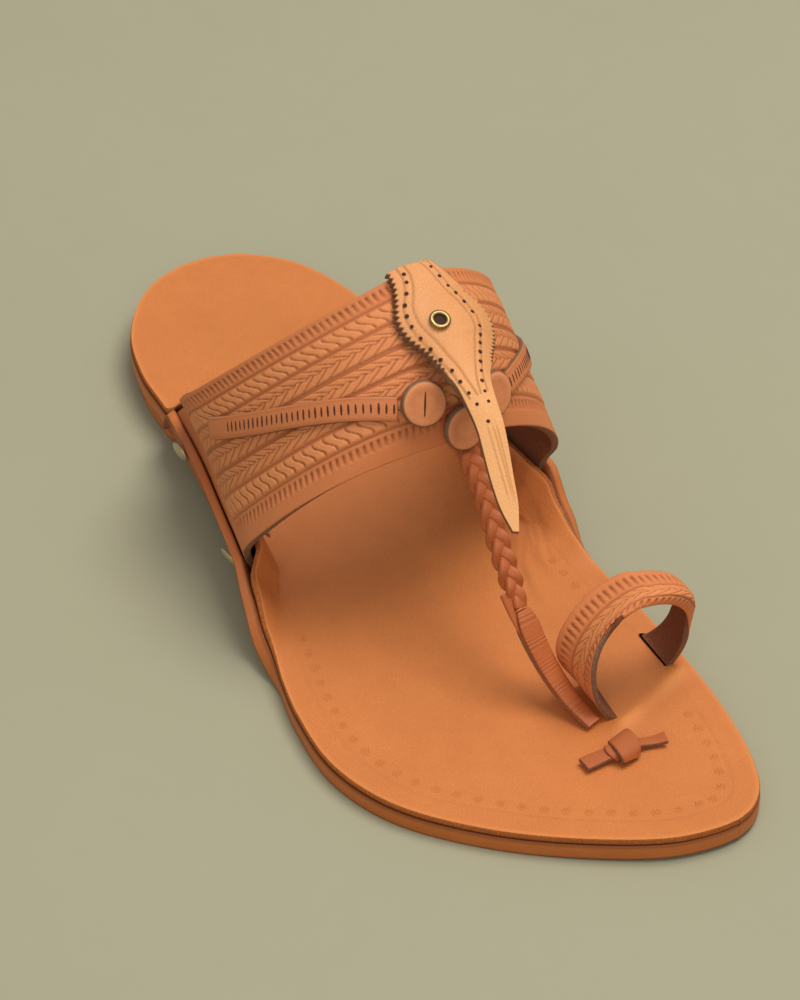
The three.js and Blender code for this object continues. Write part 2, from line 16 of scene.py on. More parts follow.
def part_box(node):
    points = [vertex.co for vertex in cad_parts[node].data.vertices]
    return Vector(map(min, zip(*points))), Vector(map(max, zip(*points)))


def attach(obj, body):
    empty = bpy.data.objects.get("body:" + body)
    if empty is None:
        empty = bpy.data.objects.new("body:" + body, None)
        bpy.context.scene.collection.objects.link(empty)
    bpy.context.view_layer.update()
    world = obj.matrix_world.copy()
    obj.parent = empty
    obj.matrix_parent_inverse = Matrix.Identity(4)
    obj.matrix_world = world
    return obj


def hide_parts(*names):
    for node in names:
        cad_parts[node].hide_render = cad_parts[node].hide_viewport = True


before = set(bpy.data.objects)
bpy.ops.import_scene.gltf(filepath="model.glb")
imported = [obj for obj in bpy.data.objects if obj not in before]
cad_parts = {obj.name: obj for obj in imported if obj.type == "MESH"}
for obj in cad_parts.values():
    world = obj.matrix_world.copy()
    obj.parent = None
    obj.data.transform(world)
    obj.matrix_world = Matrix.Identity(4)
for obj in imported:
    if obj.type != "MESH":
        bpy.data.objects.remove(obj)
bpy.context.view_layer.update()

bl_info = {
    "name": "Kolhapuri sandal",
    "version": (1, 0, 0),
    "blender": (4, 5, 0),
    "location": "View3D > Sidebar > Sandal",
    "description": "Builds a tooled leather sandal, piece by piece",
    "category": "Object",
}

# ---- sizes that the pieces share with the CAD part, in millimetres -------------------------

GAP = 0.3                        # between pieces that lie on each other
OUTSOLE_T = 4.7
EAR_T = 2.6                      # the outsole where it is thinned and turned up
INSOLE_T = 2.0
INSOLE_INSET = 0.5               # how far the insole's edge stays inside the outsole's
STRAP_T = 2.2
POCKET = STRAP_T + 1.6           # room for the strap between ear and insole wing
HEEL_LIFT_T = 5.5
HEEL_INSET = 1.2
HEEL_BREAST_X = -62              # front end of the heel lift
HEEL_BREAST_BOW = 5
HEEL_TUCK = 60                   # ear angle at which the lift is tucked in fully, in degrees
BEND = 8                         # length of leather that bends up into an ear
TOE_SPRING = 1.5
TOE_SPRING_X = 92
TOE_X = 133
RISE_FRONT_X = 28
RISE_REAR_X = -62
DISC_R = 6.2
DISC_T = 2.6
TRIM_W = 5.8
TRIM_T = 1.3
FLAP_T = 1.9
FLAP_REST = 0.7                  # least height of the flap over the strap
RING_T = 1.6
RIVET_R = 3.3

OUTLINE = np.array([  # lateral x, y, medial x, y
    [-133, 0, -133, 0], [-131.4, -9.5, -131.6, 9], [-126.5, -18.6, -127, 18],
    [-114.5, -29.6, -115, 28.2], [-98, -36.4, -98, 33.2], [-80, -39.6, -80, 33.8],
    [-60, -45.4, -60, 29.6], [-40, -51.8, -40, 27.4], [-20, -58.6, -20, 26.8],
    [0, -65.2, 0, 26.8], [17, -69.6, 17, 25.6], [35, -75.4, 35, 23.4],
    [56, -78.6, 56, 22.3], [76, -74.2, 76, 20.2], [98, -59.4, 98, 16.4],
    [117.5, -39, 115.5, 11], [128, -24, 126.3, 5], [131.9, -12.5, 131, -1],
    [132.5, -6.5, 132.5, -6.5],
])
EAR_LATERAL = np.array([  # x, angle from level in degrees, length of the straight part
    [-140, 0, 1], [-82, 0, 1], [-72, 80, 4.6], [-40, 74, 9], [-8, 66, 13.5],
    [0, 56, 8.5], [9, 30, 3], [22, 0, 1], [140, 0, 1],
])
EAR_MEDIAL = np.array([
    [-140, 0, 1], [-68, 0, 1], [-58, 80, 5.4], [-30, 75, 9.6], [8, 68, 13.5],
    [16, 52, 6], [24, 28, 2.5], [36, 0, 1], [140, 0, 1],
])
STRAP = {
    "lateral": {"foot": (-71.5, -8), "swell": (40, 16), "wide": (1.24, 0.55),
                "tall": (1.4, 1.25), "bow": (6.7, 1.1)},
    "medial": {"foot": (-56, 7), "swell": (37, 12), "wide": (1.03, 1.22),
               "tall": (1.4, 1.4), "bow": (1, -2.2)},
    "crest": [[-8.5, -12.4, 93.4], [15.1, -13.2, 88.2], [21.9, -14.9, 61.4]],
}
RING = {
    "lateral": {"foot": ((70.3, -8.9), (84.8, -10)), "swell": (50, 43),
                "wide": (1.5, 1.17), "tall": (1.1, 0.9), "bow": (-8, -4.6)},
    "medial": {"foot": ((63.8, 15.5), (76.7, 14)), "swell": (38, 41),
               "wide": (0.96, 1.09), "tall": (0.74, 0.78), "bow": (8, 5.2)},
    "crest": [[72.1, 4.8, 40.6], [85, 3.9, 42.3], [81.5, -0.1, 39.5]],
}
FLAP = np.array([  # lateral x, y, z, medial x, y, z, crown
    [-8.2, -15.5, 96.4, -8.6, -2.5, 95, 0.8], [-4, -16.6, 95.2, -3.6, -0.4, 93, 1.4],
    [-0.6, -18.4, 93.8, 0.4, 1.6, 90.4, 2.4], [4, -21.1, 91, 3.8, 4.8, 86.6, 4],
    [8.8, -21.2, 88.6, 7.8, 6.2, 82.8, 5.4], [14, -19.4, 86.8, 12.4, 4.4, 81, 5.2],
    [20, -18.9, 85.6, 18.8, -0.6, 81.4, 3.2], [26.4, -18.6, 84.4, 26.6, -7.8, 82.6, 1.3],
    [32.1, -19, 81.1, 32.6, -10.9, 81.8, 0.6], [37.6, -19.8, 77.4, 39, -12.8, 77.9, 0.4],
    [43.1, -21.6, 73.4, 44.8, -15.2, 73.6, 0.3], [48.6, -23.4, 69.5, 50.2, -17.7, 69.6, 0.2],
    [54.3, -24.7, 65.5, 55.6, -20.2, 65.6, 0.1], [59.8, -24.9, 61.9, 60.6, -23.6, 61.7, 0],
])
EYELET_AT = (0.298, -0.34)       # share of the flap's length, and across
EYELET_R = 2.2
THONG = np.array([  # x, y, z along the plait and the folded strip
    [25.6, -13.4, 57.2], [34, -15.2, 52.6], [42, -17.4, 46.4], [50, -19.2, 39.4],
    [57.5, -20.2, 31.6], [64, -20, 23.6], [71, -18.8, 16], [78, -17.2, 10.8],
    [84, -15.9, 8.3],
])
THONG_PLAIT_END = 4              # row of THONG where the plait gives way to the strip
# Places on the strap: from the lateral foot to the medial one, and from rear to front.
DISCS = {"lateral": (0.473, 0.742), "middle": (0.508, 0.925), "medial": (0.585, 0.8)}
TRIMS = {"lateral": ((0.16, 0.28), (0.432, 0.712)), "medial": ((0.86, 0.32), (0.64, 0.745))}
RIVETS = {"rear": (-58, -45, 0.32), "front": (-16, -1, 0.42)}  # x lateral, x medial, down

# Punched holes of the flap: share of its length, and across from -1 (lateral) to 1.
HOLES = [
    (0.045, -0.42), (0.087, -0.5), (0.147, -0.62), (0.189, -0.72), (0.229, -0.74),
    (0.273, -0.76), (0.328, -0.78), (0.386, -0.82), (0.439, -0.8), (0.492, -0.72),
    (0.534, -0.68), (0.577, -0.55), (0.621, -0.36), (0.678, -0.09), (0.05, 0.62),
    (0.102, 0.55), (0.159, 0.5), (0.196, 0.49), (0.243, 0.45), (0.299, 0.39),
    (0.371, 0.34), (0.403, 0.3), (0.433, 0.28), (0.464, 0.26), (0.495, 0.28),
    (0.522, 0.31), (0.557, 0.3), (0.594, 0.31), (0.628, 0.36),
]
LATERAL_HOLES = 14               # the first holes run along the lateral edge
PINKED = ((0.0, 0.46, 1.0), (0.17, 0.47, 2.1))  # where each edge's teeth run, and their depth
FLAP_LINES = ((0, -1.1), (0, 1.25), (1, -1.0), (1, 1.25))  # row of holes, distance from it
BEAK_LINES = ((0.05, 0.55), (0.35, 0.7), (-0.35, 0.1))     # place across, at start and end

# ---- sizes of the finish, in millimetres ---------------------------------------------------

RIM_STEPS = (0.12, 0.35, 0.65, 0.88)  # rows of a cut edge, from the outer face to the inner
CROWN_STEP = 0.004               # step for slopes on a band
STRAP_ROWS = (  # pattern, rear edge, front edge, as shares of the strap's width
    ("bars", 0.015, 0.1), ("rope", 0.125, 0.24), ("wheat", 0.262, 0.39),
    ("wheat", 0.412, 0.538), ("wheat", 0.562, 0.675), ("rope", 0.7, 0.815),
    ("bars", 0.845, 0.92),
)
STRAP_LINES = (0.113, 0.25, 0.394, 0.407, 0.543, 0.556, 0.688, 0.828)
RING_ROWS = (("bars", 0.05, 0.29), ("wheat", 0.34, 0.64), ("bars", 0.68, 0.88))
RING_LINES = (0.315, 0.66)
HEEL_HOLLOW = (-98, -2, 26, 24)  # x, y, reach along, reach across
BALL_HOLLOW = (58, -30, 34, 30)
HEEL_HOLLOW_DEPTH, BALL_HOLLOW_DEPTH = 0.5, 0.35
HIDDEN_LACE = ((88.5, -12.5), (80.5, 15.5))
HIDDEN_LACE_W, HIDDEN_LACE_RISE = 2.1, 1.25
EDGE_LINE = 6.6                  # creased line inside the insole's edge
EDGE_LINE_DEPTH = 0.12
WRINKLE_DEPTH = 0.16
STAMP_LINE = 9.2                 # row of stamps inside the insole's edge
WRINKLES = (  # distance from the edge, slant, width, rear end, front end
    (7.5, 0.10, 0.8, 4, 30), (9.8, 0.14, 0.7, 6, 34), (12.4, 0.12, 0.9, 2, 30),
    (15.0, 0.18, 0.8, 10, 34), (5.2, 0.05, 0.6, 0, 20), (18.2, 0.1, 1.1, 8, 40),
)
LIFT_PROFILE = (  # share of the lift's height, how far in; the groove parts its two layers
    (0, 8), (0, 0.5), (0.06, 0.1), (0.12, 0), (0.46, 0), (0.5, 0.28), (0.54, 0),
    (0.9, 0.05), (0.97, 0.25), (1, 0.6), (1, 8),
)
TRIM_REACH = 1.035               # share of the way to its disc's middle
TRIM_PLAIN = 9.5                 # length at the ear's end that has no slits
PLAIT_HIDDEN = 4.5               # length of the plait that starts below the middle disc
LACE_SWING, LACE_DEPTH = 1.95, 0.95  # how far a lace of the plait leaves its middle
LACE_SECTION = (2.9, 1.9)
STRIP_START, STRIP_END = (7, 3.8), (4.6, 1.8)  # width and thickness of the folded strip
KNOT_Z = 7.6
KNOT = (  # points with heights over KNOT_Z, widths, thickness, direction across
    (((94.6, -27.2, 0.9), (94.8, -24, 0.9), (95.3, -20.5, 1.2), (96, -16, 1.4)),
     (4.3, 4.2, 3.8, 3.4), 1.2, (1, 0.1, 0)),
    (((95.8, -14, 1.3), (97, -10.5, 1.2), (98, -7.5, 0.8), (99.2, -4.2, 1.3)),
     (3.2, 2.6, 2.8, 3.4), 1.1, (1, -0.3, 0)),
    (((91.9, -14.2, 0.8), (92.7, -14.5, 2.1), (94.6, -15, 3.1), (97, -15.4, 3.1),
      (99, -15.8, 2.2), (99.8, -16, 0.8)),
     (5.6, 6.4, 6.8, 6.8, 6.4, 5.6), 1.25, (-0.18, 1, 0)),
    (((93.4, -18.2, 1), (93.9, -18.9, 2), (95.6, -19.6, 2.2), (97.2, -19.2, 1.8),
      (97.8, -18.4, 0.9)),
     (1.6, 2, 2, 2, 1.6), 0.9, (0.2, 1, 0)),
)
RIVET_PROFILE = (  # share of the radius, height
    (0.9, 0), (0.99, 0.12), (1, 0.3), (0.96, 0.5), (0.86, 0.72), (0.68, 0.92),
    (0.45, 1.05), (0.2, 1.1),
)
RIVET_RISE, RIVET_WING_RISE = 1.1, 0.9

# ---- the stage -----------------------------------------------------------------------------

FLOOR_REACH = 4.0
WORLD_COLOUR, WORLD_STRENGTH = (0.97, 1.0, 0.99, 1), 0.4
LIGHTS = (  # name, direction from the sandal, distance, size, power, colour
    ("key", (0.12, 0.34, 1.2), 1.7, 1.1, 22, (1, 0.98, 0.95)),
    ("front", (0.75, -0.6, 0.85), 2.0, 1.6, 7, (1, 1, 1)),
)
LIGHTS_AIM = (0, 0, 0.03)
CAMERA_EYE, CAMERA_TARGET = (687.875, -509.558, 770.426), (4, -20, 30)
CAMERA_LENS = 152


def linear(red, green, blue):
    """A colour as Blender keeps it, from the 0-255 numbers of a paint card."""
    return tuple(((c / 255 + 0.055) / 1.055) ** 2.4 for c in (red, green, blue))


class SandalSizes(bpy.types.PropertyGroup):
    """Sizes of the tooling and the leather."""

    grain: FloatProperty(name="Grain", description="Size of the leather's grain cells",
                         default=0.00075, min=0.0002, unit="LENGTH")
    bars: FloatProperty(name="Bar pitch", description="Distance between edge bars",
                        default=0.00195, min=0.001, unit="LENGTH")
    rope: FloatProperty(name="Rope pitch", description="Length of one link of the rope rows",
                        default=0.0034, min=0.002, unit="LENGTH")
    leaf: FloatProperty(name="Leaf pitch", description="Length of one leaf of the wheat rows",
                        default=0.0043, min=0.002, unit="LENGTH")
    depth: FloatProperty(name="Tooling depth", description="Depth of the tooled pattern",
                         default=0.00042, min=0, unit="LENGTH")
    pinking: FloatProperty(name="Pinking pitch", description="Width of a tooth of the flap",
                           default=0.0016, min=0.0008, unit="LENGTH")
    hole: FloatProperty(name="Punched hole", description="Diameter of the flap's holes",
                        default=0.0011, min=0.0004, unit="LENGTH")
    stamp: FloatProperty(name="Flower stamp", description="Width of the insole's stamps",
                         default=0.0027, min=0.001, unit="LENGTH")
    stamp_pitch: FloatProperty(name="Stamp pitch", description="Distance between stamps",
                               default=0.0055, min=0.002, unit="LENGTH")
    slit: FloatProperty(name="Trim slit pitch", description="Distance between trim slits",
                        default=0.0017, min=0.001, unit="LENGTH")
    plait: FloatProperty(name="Plait period", description="Length of one full plait",
                         default=0.0155, min=0.006, unit="LENGTH")
    seed: IntProperty(name="Seed", description="Seed of the stamps' unevenness", default=4)


def tint(name, description, *card):
    """A colour property whose default is that of a paint card."""
    return FloatVectorProperty(name=name, description=description, subtype="COLOR", size=3,
                               min=0, max=1, default=linear(*card))


class SandalColours(bpy.types.PropertyGroup):
    """Colours of the leathers and the metal."""

    insole: tint("Insole", "Smooth leather of the top sole", 217, 128, 64)
    sole: tint("Sole edge", "Leather of the outsole and heel", 208, 116, 52)
    tooled: tint("Tooled", "Leather of strap, ring and trims", 228, 136, 80)
    disc: tint("Discs", "Leather of the discs", 236, 148, 94)
    pale: tint("Flap", "Pale leather of the flap", 238, 164, 102)
    plait: tint("Plait", "Leather of plait, thong and knot", 202, 108, 54)
    raw: tint("Raw edge", "Cut edge of the leather", 138, 98, 72)
    # flesh side of the leather, its colour kept dark so that it also stands as painted shade on
    # the strap's underside
    suede_and_shade: tint("Suede", "Flesh side of the leather", 128, 72, 44)
    brass: tint("Brass", "Eyelet and rivets", 164, 138, 88)
    floor: tint("Floor", "Plain floor", 167, 162, 136)


def sizes():
    return bpy.context.scene.sandal_sizes


def colours():
    return bpy.context.scene.sandal_colours


# ---- curves and tables ---------------------------------------------------------------------


def smooth(x, low, high):
    """0 below low, 1 above high, with an even S between."""
    f = np.clip((x - low) / (high - low), 0, 1)
    return f * f * (3 - 2 * f)


def bell(x, width):
    """A bump that falls off on both sides of nought."""
    return np.exp(-(x / width) ** 2)


def unit(vectors):
    return vectors / np.maximum(np.linalg.norm(vectors, axis=-1, keepdims=True), 1e-9)


def along(points, t):
    """Smooth curve through points, spaced as the CAD part's curves are."""
    points = np.asarray(points, float)
    t = np.clip(np.asarray(t, float), 0, 1)
    last = len(points) - 1
    place = last * t
    i = np.minimum(np.floor(place).astype(int), last - 1)
    w = (place - i)[..., None]
    p1, p2 = points[i], points[i + 1]
    p0 = np.where((i > 0)[..., None], points[np.maximum(i - 1, 0)], 2 * points[0] - points[1])
    p3 = np.where((i + 2 <= last)[..., None], points[np.minimum(i + 2, last)],
                  2 * points[-1] - points[-2])

    def step(a, b):
        return np.maximum(((a - b) ** 2).sum(-1) ** 0.25, 1e-9)[..., None]

    d0, d1, d2 = step(p0, p1), step(p1, p2), step(p2, p3)
    d0 = np.where(d0 < 1e-4, d1, d0)
    d2 = np.where(d2 < 1e-4, d1, d2)
    t1 = ((p1 - p0) / d0 - (p2 - p0) / (d0 + d1) + (p2 - p1) / d1) * d1
    t2 = ((p2 - p1) / d1 - (p3 - p1) / (d1 + d2) + (p3 - p2) / d2) * d1
    cubic = (2 * p1 - 2 * p2 + t1 + t2) * w**3 + (-3 * p1 + 3 * p2 - 2 * t1 - t2) * w**2
    return p1 + t1 * w + cubic


def heading(points, t):
    """Direction along a curve."""
    e = 5e-4
    return unit(along(points, t + e) - along(points, t - e))


def read(table, x, column):
    """A table's column at x, eased between rows as in the CAD part."""
    x = np.asarray(x, float)
    i = np.clip(np.searchsorted(table[:, 0], x, side="left"), 1, len(table) - 1)
    a, b = table[i - 1], table[i]
    f = np.clip((x - a[..., 0]) / (b[..., 0] - a[..., 0]), 0, 1)
    f = f + 0.6 * (f * f * (3 - 2 * f) - f)
    return a[..., column] + (b[..., column] - a[..., column]) * f


def run_of(points):
    """Distance along a row of points, starting from nought."""
    steps = np.linalg.norm(np.diff(points, axis=0), axis=-1)
    return np.concatenate([np.zeros((1,) + steps.shape[1:]), np.cumsum(steps, axis=0)])


# ---- the soles -----------------------------------------------------------------------------


def lateral_edge(t):
    return along(OUTLINE[:, :2], t)


def medial_edge(t):
    return along(OUTLINE[:, 2:], t)


def bed(x):
    """Height of the outsole's top face over the floor."""
    rise = HEEL_LIFT_T * (1 - smooth(x, RISE_REAR_X, RISE_FRONT_X))
    spring = TOE_SPRING * np.maximum(0, (x - TOE_SPRING_X) / (TOE_X - TOE_SPRING_X)) ** 2
    return OUTSOLE_T + rise + spring


def ear_section(table, x, width, bends, straights):
    """Sections of an ear from its tip inwards: distance in, height, angle and distance along."""
    angle = np.radians(read(table, x, 1))[:, None]
    bend = np.minimum(BEND, 0.2 * width)[:, None]
    straight = np.minimum(read(table, x, 2), 0.08 * width + read(table, x, 1) / 4)[:, None]
    f = np.linspace(0, 1, bends + 1)[None]
    a = np.maximum(angle, 1e-5)
    reach = bend / a * np.sin(a * f)
    climb = bend / a * (1 - np.cos(a * f))
    g = np.linspace(0, 1, straights + 1)[None, 1:]
    reach = np.hstack([reach, reach[:, -1:] + straight * g * np.cos(angle)])
    climb = np.hstack([climb, climb[:, -1:] + straight * g * np.sin(angle)])
    tilt = np.hstack([angle * f, np.repeat(angle, straights, axis=1)])
    path = np.hstack([straight + bend * (1 - f), straight * (1 - g)])
    return [v[:, ::-1] for v in (reach[:, -1:] - reach, climb, tilt, path)]


def crossing(t, inset=0.0, bends=8, straights=6, flats=40):
    """The outsole's top face along crossing lines: points, normals and distance to the edge."""
    t = np.atleast_1d(t)
    a, b = lateral_edge(t), medial_edge(t)
    across = b - a
    width = np.linalg.norm(across, axis=1) - 2 * inset
    across = unit(across)
    a, b = a + across * inset, b - across * inset
    left = ear_section(EAR_LATERAL, a[:, 0], width, bends, straights)
    right = ear_section(EAR_MEDIAL, b[:, 0], width, bends, straights)
    low, high = left[0][:, -1:], width[:, None] - right[0][:, -1:]
    f = np.linspace(0, 1, flats + 1)[None, 1:-1]
    reach = np.hstack([left[0], low + (high - low) * f, width[:, None] - right[0][:, ::-1]])
    flat = np.zeros_like(f + low)
    climb = np.hstack([left[1], flat, right[1][:, ::-1]])
    tilt = np.hstack([left[2], flat, -right[2][:, ::-1]])
    near = left[3][:, -1:] + (high - low) * f
    far = right[3][:, -1:] + (high - low) * (1 - f)
    rim = np.hstack([left[3], np.minimum(near, far), right[3][:, ::-1]])
    points = np.zeros(reach.shape + (3,))
    points[..., :2] = a[:, None] + across[:, None] * reach[..., None]
    points[..., 2] = bed(points[..., 0]) + climb
    normals = np.zeros_like(points)
    normals[..., :2] = across[:, None] * np.sin(tilt)[..., None]
    normals[..., 2] = np.cos(tilt)
    return points, normals, rim


def edge_distance(points, rim, inset=0.0):
    """Distance to the outline: along the leather by the ears, and level round heel and toe."""
    t = np.linspace(0, 1, 700)
    outline = np.vstack([lateral_edge(t), medial_edge(t)[::-1]])
    flat = points[..., :2].reshape(-1, 2)
    level = np.concatenate([
        np.sqrt(((part[:, None] - outline[None]) ** 2).sum(-1)).min(1)
        for part in np.array_split(flat, 24)
    ]).reshape(rim.shape)
    ends = smooth(np.abs(points[..., 0] + 4), 78, 96)
    return rim + (np.maximum(level - inset, 0) - rim) * ends


def stations(count):
    """Crossing lines, closer together at the round ends."""
    f = np.linspace(0, 1, count)
    return 0.006 + 0.988 * (f - 0.075 * np.sin(2 * np.pi * f))


def ear_wall(side, x):
    """An ear's tip, the end of its straight part and the leather's normal, at x."""
    x = np.atleast_1d(np.asarray(x, float))
    t = np.linspace(0.1, 0.8, 3001)
    curve = lateral_edge if side < 0 else medial_edge
    t = np.interp(x, curve(t)[:, 0], t)
    a, b = lateral_edge(t), medial_edge(t)
    width = np.linalg.norm(b - a, axis=1)
    inward = np.c_[unit(b - a), np.zeros(len(t))] * (1 if side < 0 else -1)
    edge = a if side < 0 else b
    table = EAR_LATERAL if side < 0 else EAR_MEDIAL
    reach, climb, tilt, _ = ear_section(table, edge[:, 0], width, 4, 2)
    start = np.c_[edge, np.zeros(len(t))]
    tip, end = [start + inward * reach[:, k:k + 1] for k in (0, 2)]
    for points, k in ((tip, 0), (end, 2)):
        points[:, 2] = bed(points[:, 0]) + climb[:, k]
    normal = inward * np.sin(tilt[:, :1])
    normal[:, 2] = np.cos(tilt[:, 0])
    return tip, end, normal


def against_ear(side, x, down, offset):
    """Places by an ear: a share of the way down its straight part, and out along its normal."""
    tip, end, normal = ear_wall(side, x)
    return tip + (end - tip) * np.reshape(down, (-1, 1)) + normal * np.reshape(offset, (-1, 1))


# ---- bands that arch over the sole ---------------------------------------------------------


def power(value, by):
    """A power that keeps the value's sign."""
    return np.sign(value) * np.abs(value) ** by


def bezier(points, v):
    a, b, c = (np.array(p, float) for p in points)
    v = v[..., None]
    return (1 - v) ** 2 * a + 2 * v * (1 - v) * b + v * v * c


def arch(band, feet, u, v):
    """Points of an arching band: u from the lateral foot to the medial, v from rear to front."""
    left = u < 0.5

    def at(key):
        (a, b), (c, d) = band["lateral"][key], band["medial"][key]
        return np.where(left, a + (b - a) * v, c + (d - c) * v)

    up = np.where(left, 2 * u, 2 * (1 - u))
    swell = np.radians(at("swell"))
    angle = -swell + up * (math.pi / 2 + swell)
    middle = (feet[0] + feet[1]) / 2
    foot = np.where(left[..., None], feet[0], feet[1])
    half = (foot - middle) / np.cos(swell)[..., None]
    rise = (bezier(band["crest"], v) - middle) / (1 + np.sin(swell))[..., None]
    p = middle + rise * np.sin(swell)[..., None]
    p = p + half * power(np.cos(angle), at("wide"))[..., None]
    p = p + rise * power(np.sin(angle), at("tall"))[..., None]
    p[..., 0] += at("bow") * np.sin(np.pi * up)
    return p


def strap_foot(side, key):
    """The strap's middle line where it leaves an ear, from rear to front."""
    rear, front = STRAP[key]["foot"]
    return against_ear(side, rear + (front - rear) * SPAN, 0, GAP + STRAP_T / 2)


SPAN = np.linspace(-0.05, 1.05, 111)
STRAP_FEET = strap_foot(-1, "lateral"), strap_foot(1, "medial")


def strap_surface(u, v):
    u, v = np.broadcast_arrays(np.asarray(u, float), np.asarray(v, float))
    feet = [np.stack([np.interp(v, SPAN, f[:, k]) for k in range(3)], -1) for f in STRAP_FEET]
    return arch(STRAP, feet, u, v)


def ring_surface(u, v):
    u, v = np.broadcast_arrays(np.asarray(u, float), np.asarray(v, float))
    feet = []
    for key in ("lateral", "medial"):
        (x0, y0), (x1, y1) = RING[key]["foot"]
        x = x0 + (x1 - x0) * v
        feet.append(np.stack([x, y0 + (y1 - y0) * v, bed(x) + INSOLE_T + 2 * GAP], -1))
    return arch(RING, feet, u, v)


def facing(surface, u, v):
    """Outward normals of a band."""
    e = CROWN_STEP
    du = surface(u + e, v) - surface(u - e, v)
    dv = surface(u, np.minimum(1, v + e)) - surface(u, np.maximum(0, v - e))
    return -unit(np.cross(du, dv))


def on_strap(u, v, height):
    """Place, outward normal and forward direction on the strap's outer face."""
    u, v = np.atleast_1d(u), np.atleast_1d(v)
    n = facing(strap_surface, u, v)
    forward = unit(strap_surface(u, v + 0.01) - strap_surface(u, v - 0.01))
    return strap_surface(u, v) + n * (STRAP_T / 2 + height), n, forward


def strap_top(x, y):
    """Height of the strap's outer face under places on its crest, very low beyond its edges."""
    u, v = np.full(x.shape, 0.5), np.full(x.shape, 0.4)
    e = CROWN_STEP
    for _ in range(7):
        p = strap_surface(u, v)
        du = (strap_surface(u + e, v) - p) / e
        dv = (strap_surface(u, v + e) - p) / e
        area = du[..., 0] * dv[..., 1] - du[..., 1] * dv[..., 0]
        gx, gy = x - p[..., 0], y - p[..., 1]
        u = np.clip(u + (gx * dv[..., 1] - gy * dv[..., 0]) / area, 0.3, 0.7)
        v = np.clip(v + (gy * du[..., 0] - gx * du[..., 1]) / area, 0, 1)
    p = strap_surface(u, v)
    missed = np.hypot(x - p[..., 0], y - p[..., 1]) > FLAP_REST
    return np.where(missed, -1e3, p[..., 2] + STRAP_T / 2 / facing(strap_surface, u, v)[..., 2])


def flap_under(f, a):
    """The flap's underside and its upward normal, at shares of its length and across."""
    f, a = np.broadcast_arrays(np.asarray(f, float), np.asarray(a, float))
    lateral, medial = along(FLAP[:, :3], f), along(FLAP[:, 3:6], f)
    side = unit(medial - lateral)
    n = unit(np.cross(heading(FLAP[:, :3], f) + heading(FLAP[:, 3:6], f), side))
    crown = np.interp(f * (len(FLAP) - 1), np.arange(len(FLAP)), FLAP[:, 6])
    p = lateral + (medial - lateral) * ((a + 1) / 2)[..., None]
    p = p + n * (crown * (1 - a * a) - FLAP_T)[..., None]
    p[..., 2] = np.maximum(p[..., 2], strap_top(p[..., 0], p[..., 1]) + FLAP_REST)
    return p, n


# ---- meshes --------------------------------------------------------------------------------

_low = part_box("outsole")[0]
_cap = 0.012                     # the outsole's first crossing line, where its end is cut off
SHIFT = np.array([  # from the sandal's own place to the CAD part's
    _low.x * 1000 - min(lateral_edge(_cap)[0], medial_edge(_cap)[0]),
    _low.y * 1000 - lateral_edge(np.linspace(0, 1, 4001))[:, 1].min(),
    0,
])


def set_down(points):
    """Millimetres of the sandal to metres of the CAD part's frame."""
    return (np.asarray(points, float) + SHIFT) / 1000


def solid(points, faces):
    """A mesh whose faces point outwards, whichever way they were wound."""
    points = np.asarray(points, float)
    centre = points.mean(0)
    volume = 0.0
    for face in faces:
        a, b, c = points[face[0]] - centre, points[face[1]] - centre, points[face[2]] - centre
        volume += float(a @ np.cross(b, c))
        if len(face) > 3:
            volume += float(a @ np.cross(c, points[face[3]] - centre))
    if volume < 0:
        faces = [face[::-1] for face in faces]
    return points, [list(face) for face in faces]


def show(name, parts, material, nodes=(), marks=None):
    """Makes a finished piece of one or more closed solids and hands it to the frame."""
    points, faces, base = [], [], 0
    for part_points, part_faces in parts:
        points.append(part_points)
        faces += [[k + base for k in face] for face in part_faces]
        base += len(part_points)
    mesh = bpy.data.meshes.new(name)
    mesh.from_pydata(set_down(np.vstack(points)).tolist(), [], faces)
    mesh.polygons.foreach_set("use_smooth", np.ones(len(mesh.polygons), bool))
    for key, values in (marks or {}).items():
        layer = mesh.attributes.new(key, "FLOAT", "POINT")
        layer.data.foreach_set("value", np.asarray(values, np.float32).ravel())
    mesh.materials.append(material)
    mesh.update()
    return keep(name, mesh, nodes)


def keep(name, mesh, nodes=()):
    """Links a finished mesh as a piece under the root and hides the CAD parts it stands for."""
    piece = bpy.data.objects.new(name, mesh)
    bpy.context.scene.collection.objects.link(piece)
    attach(piece, "root")
    if nodes:
        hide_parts(*nodes)
    return piece


def border(rows, cols):
    """Numbers of a grid's outer points, once round."""
    top = list(range(cols))
    right = [i * cols + cols - 1 for i in range(1, rows)]
    bottom = [(rows - 1) * cols + j for j in range(cols - 2, -1, -1)]
    left = [i * cols for i in range(rows - 2, 0, -1)]
    return np.array(top + right + bottom + left)


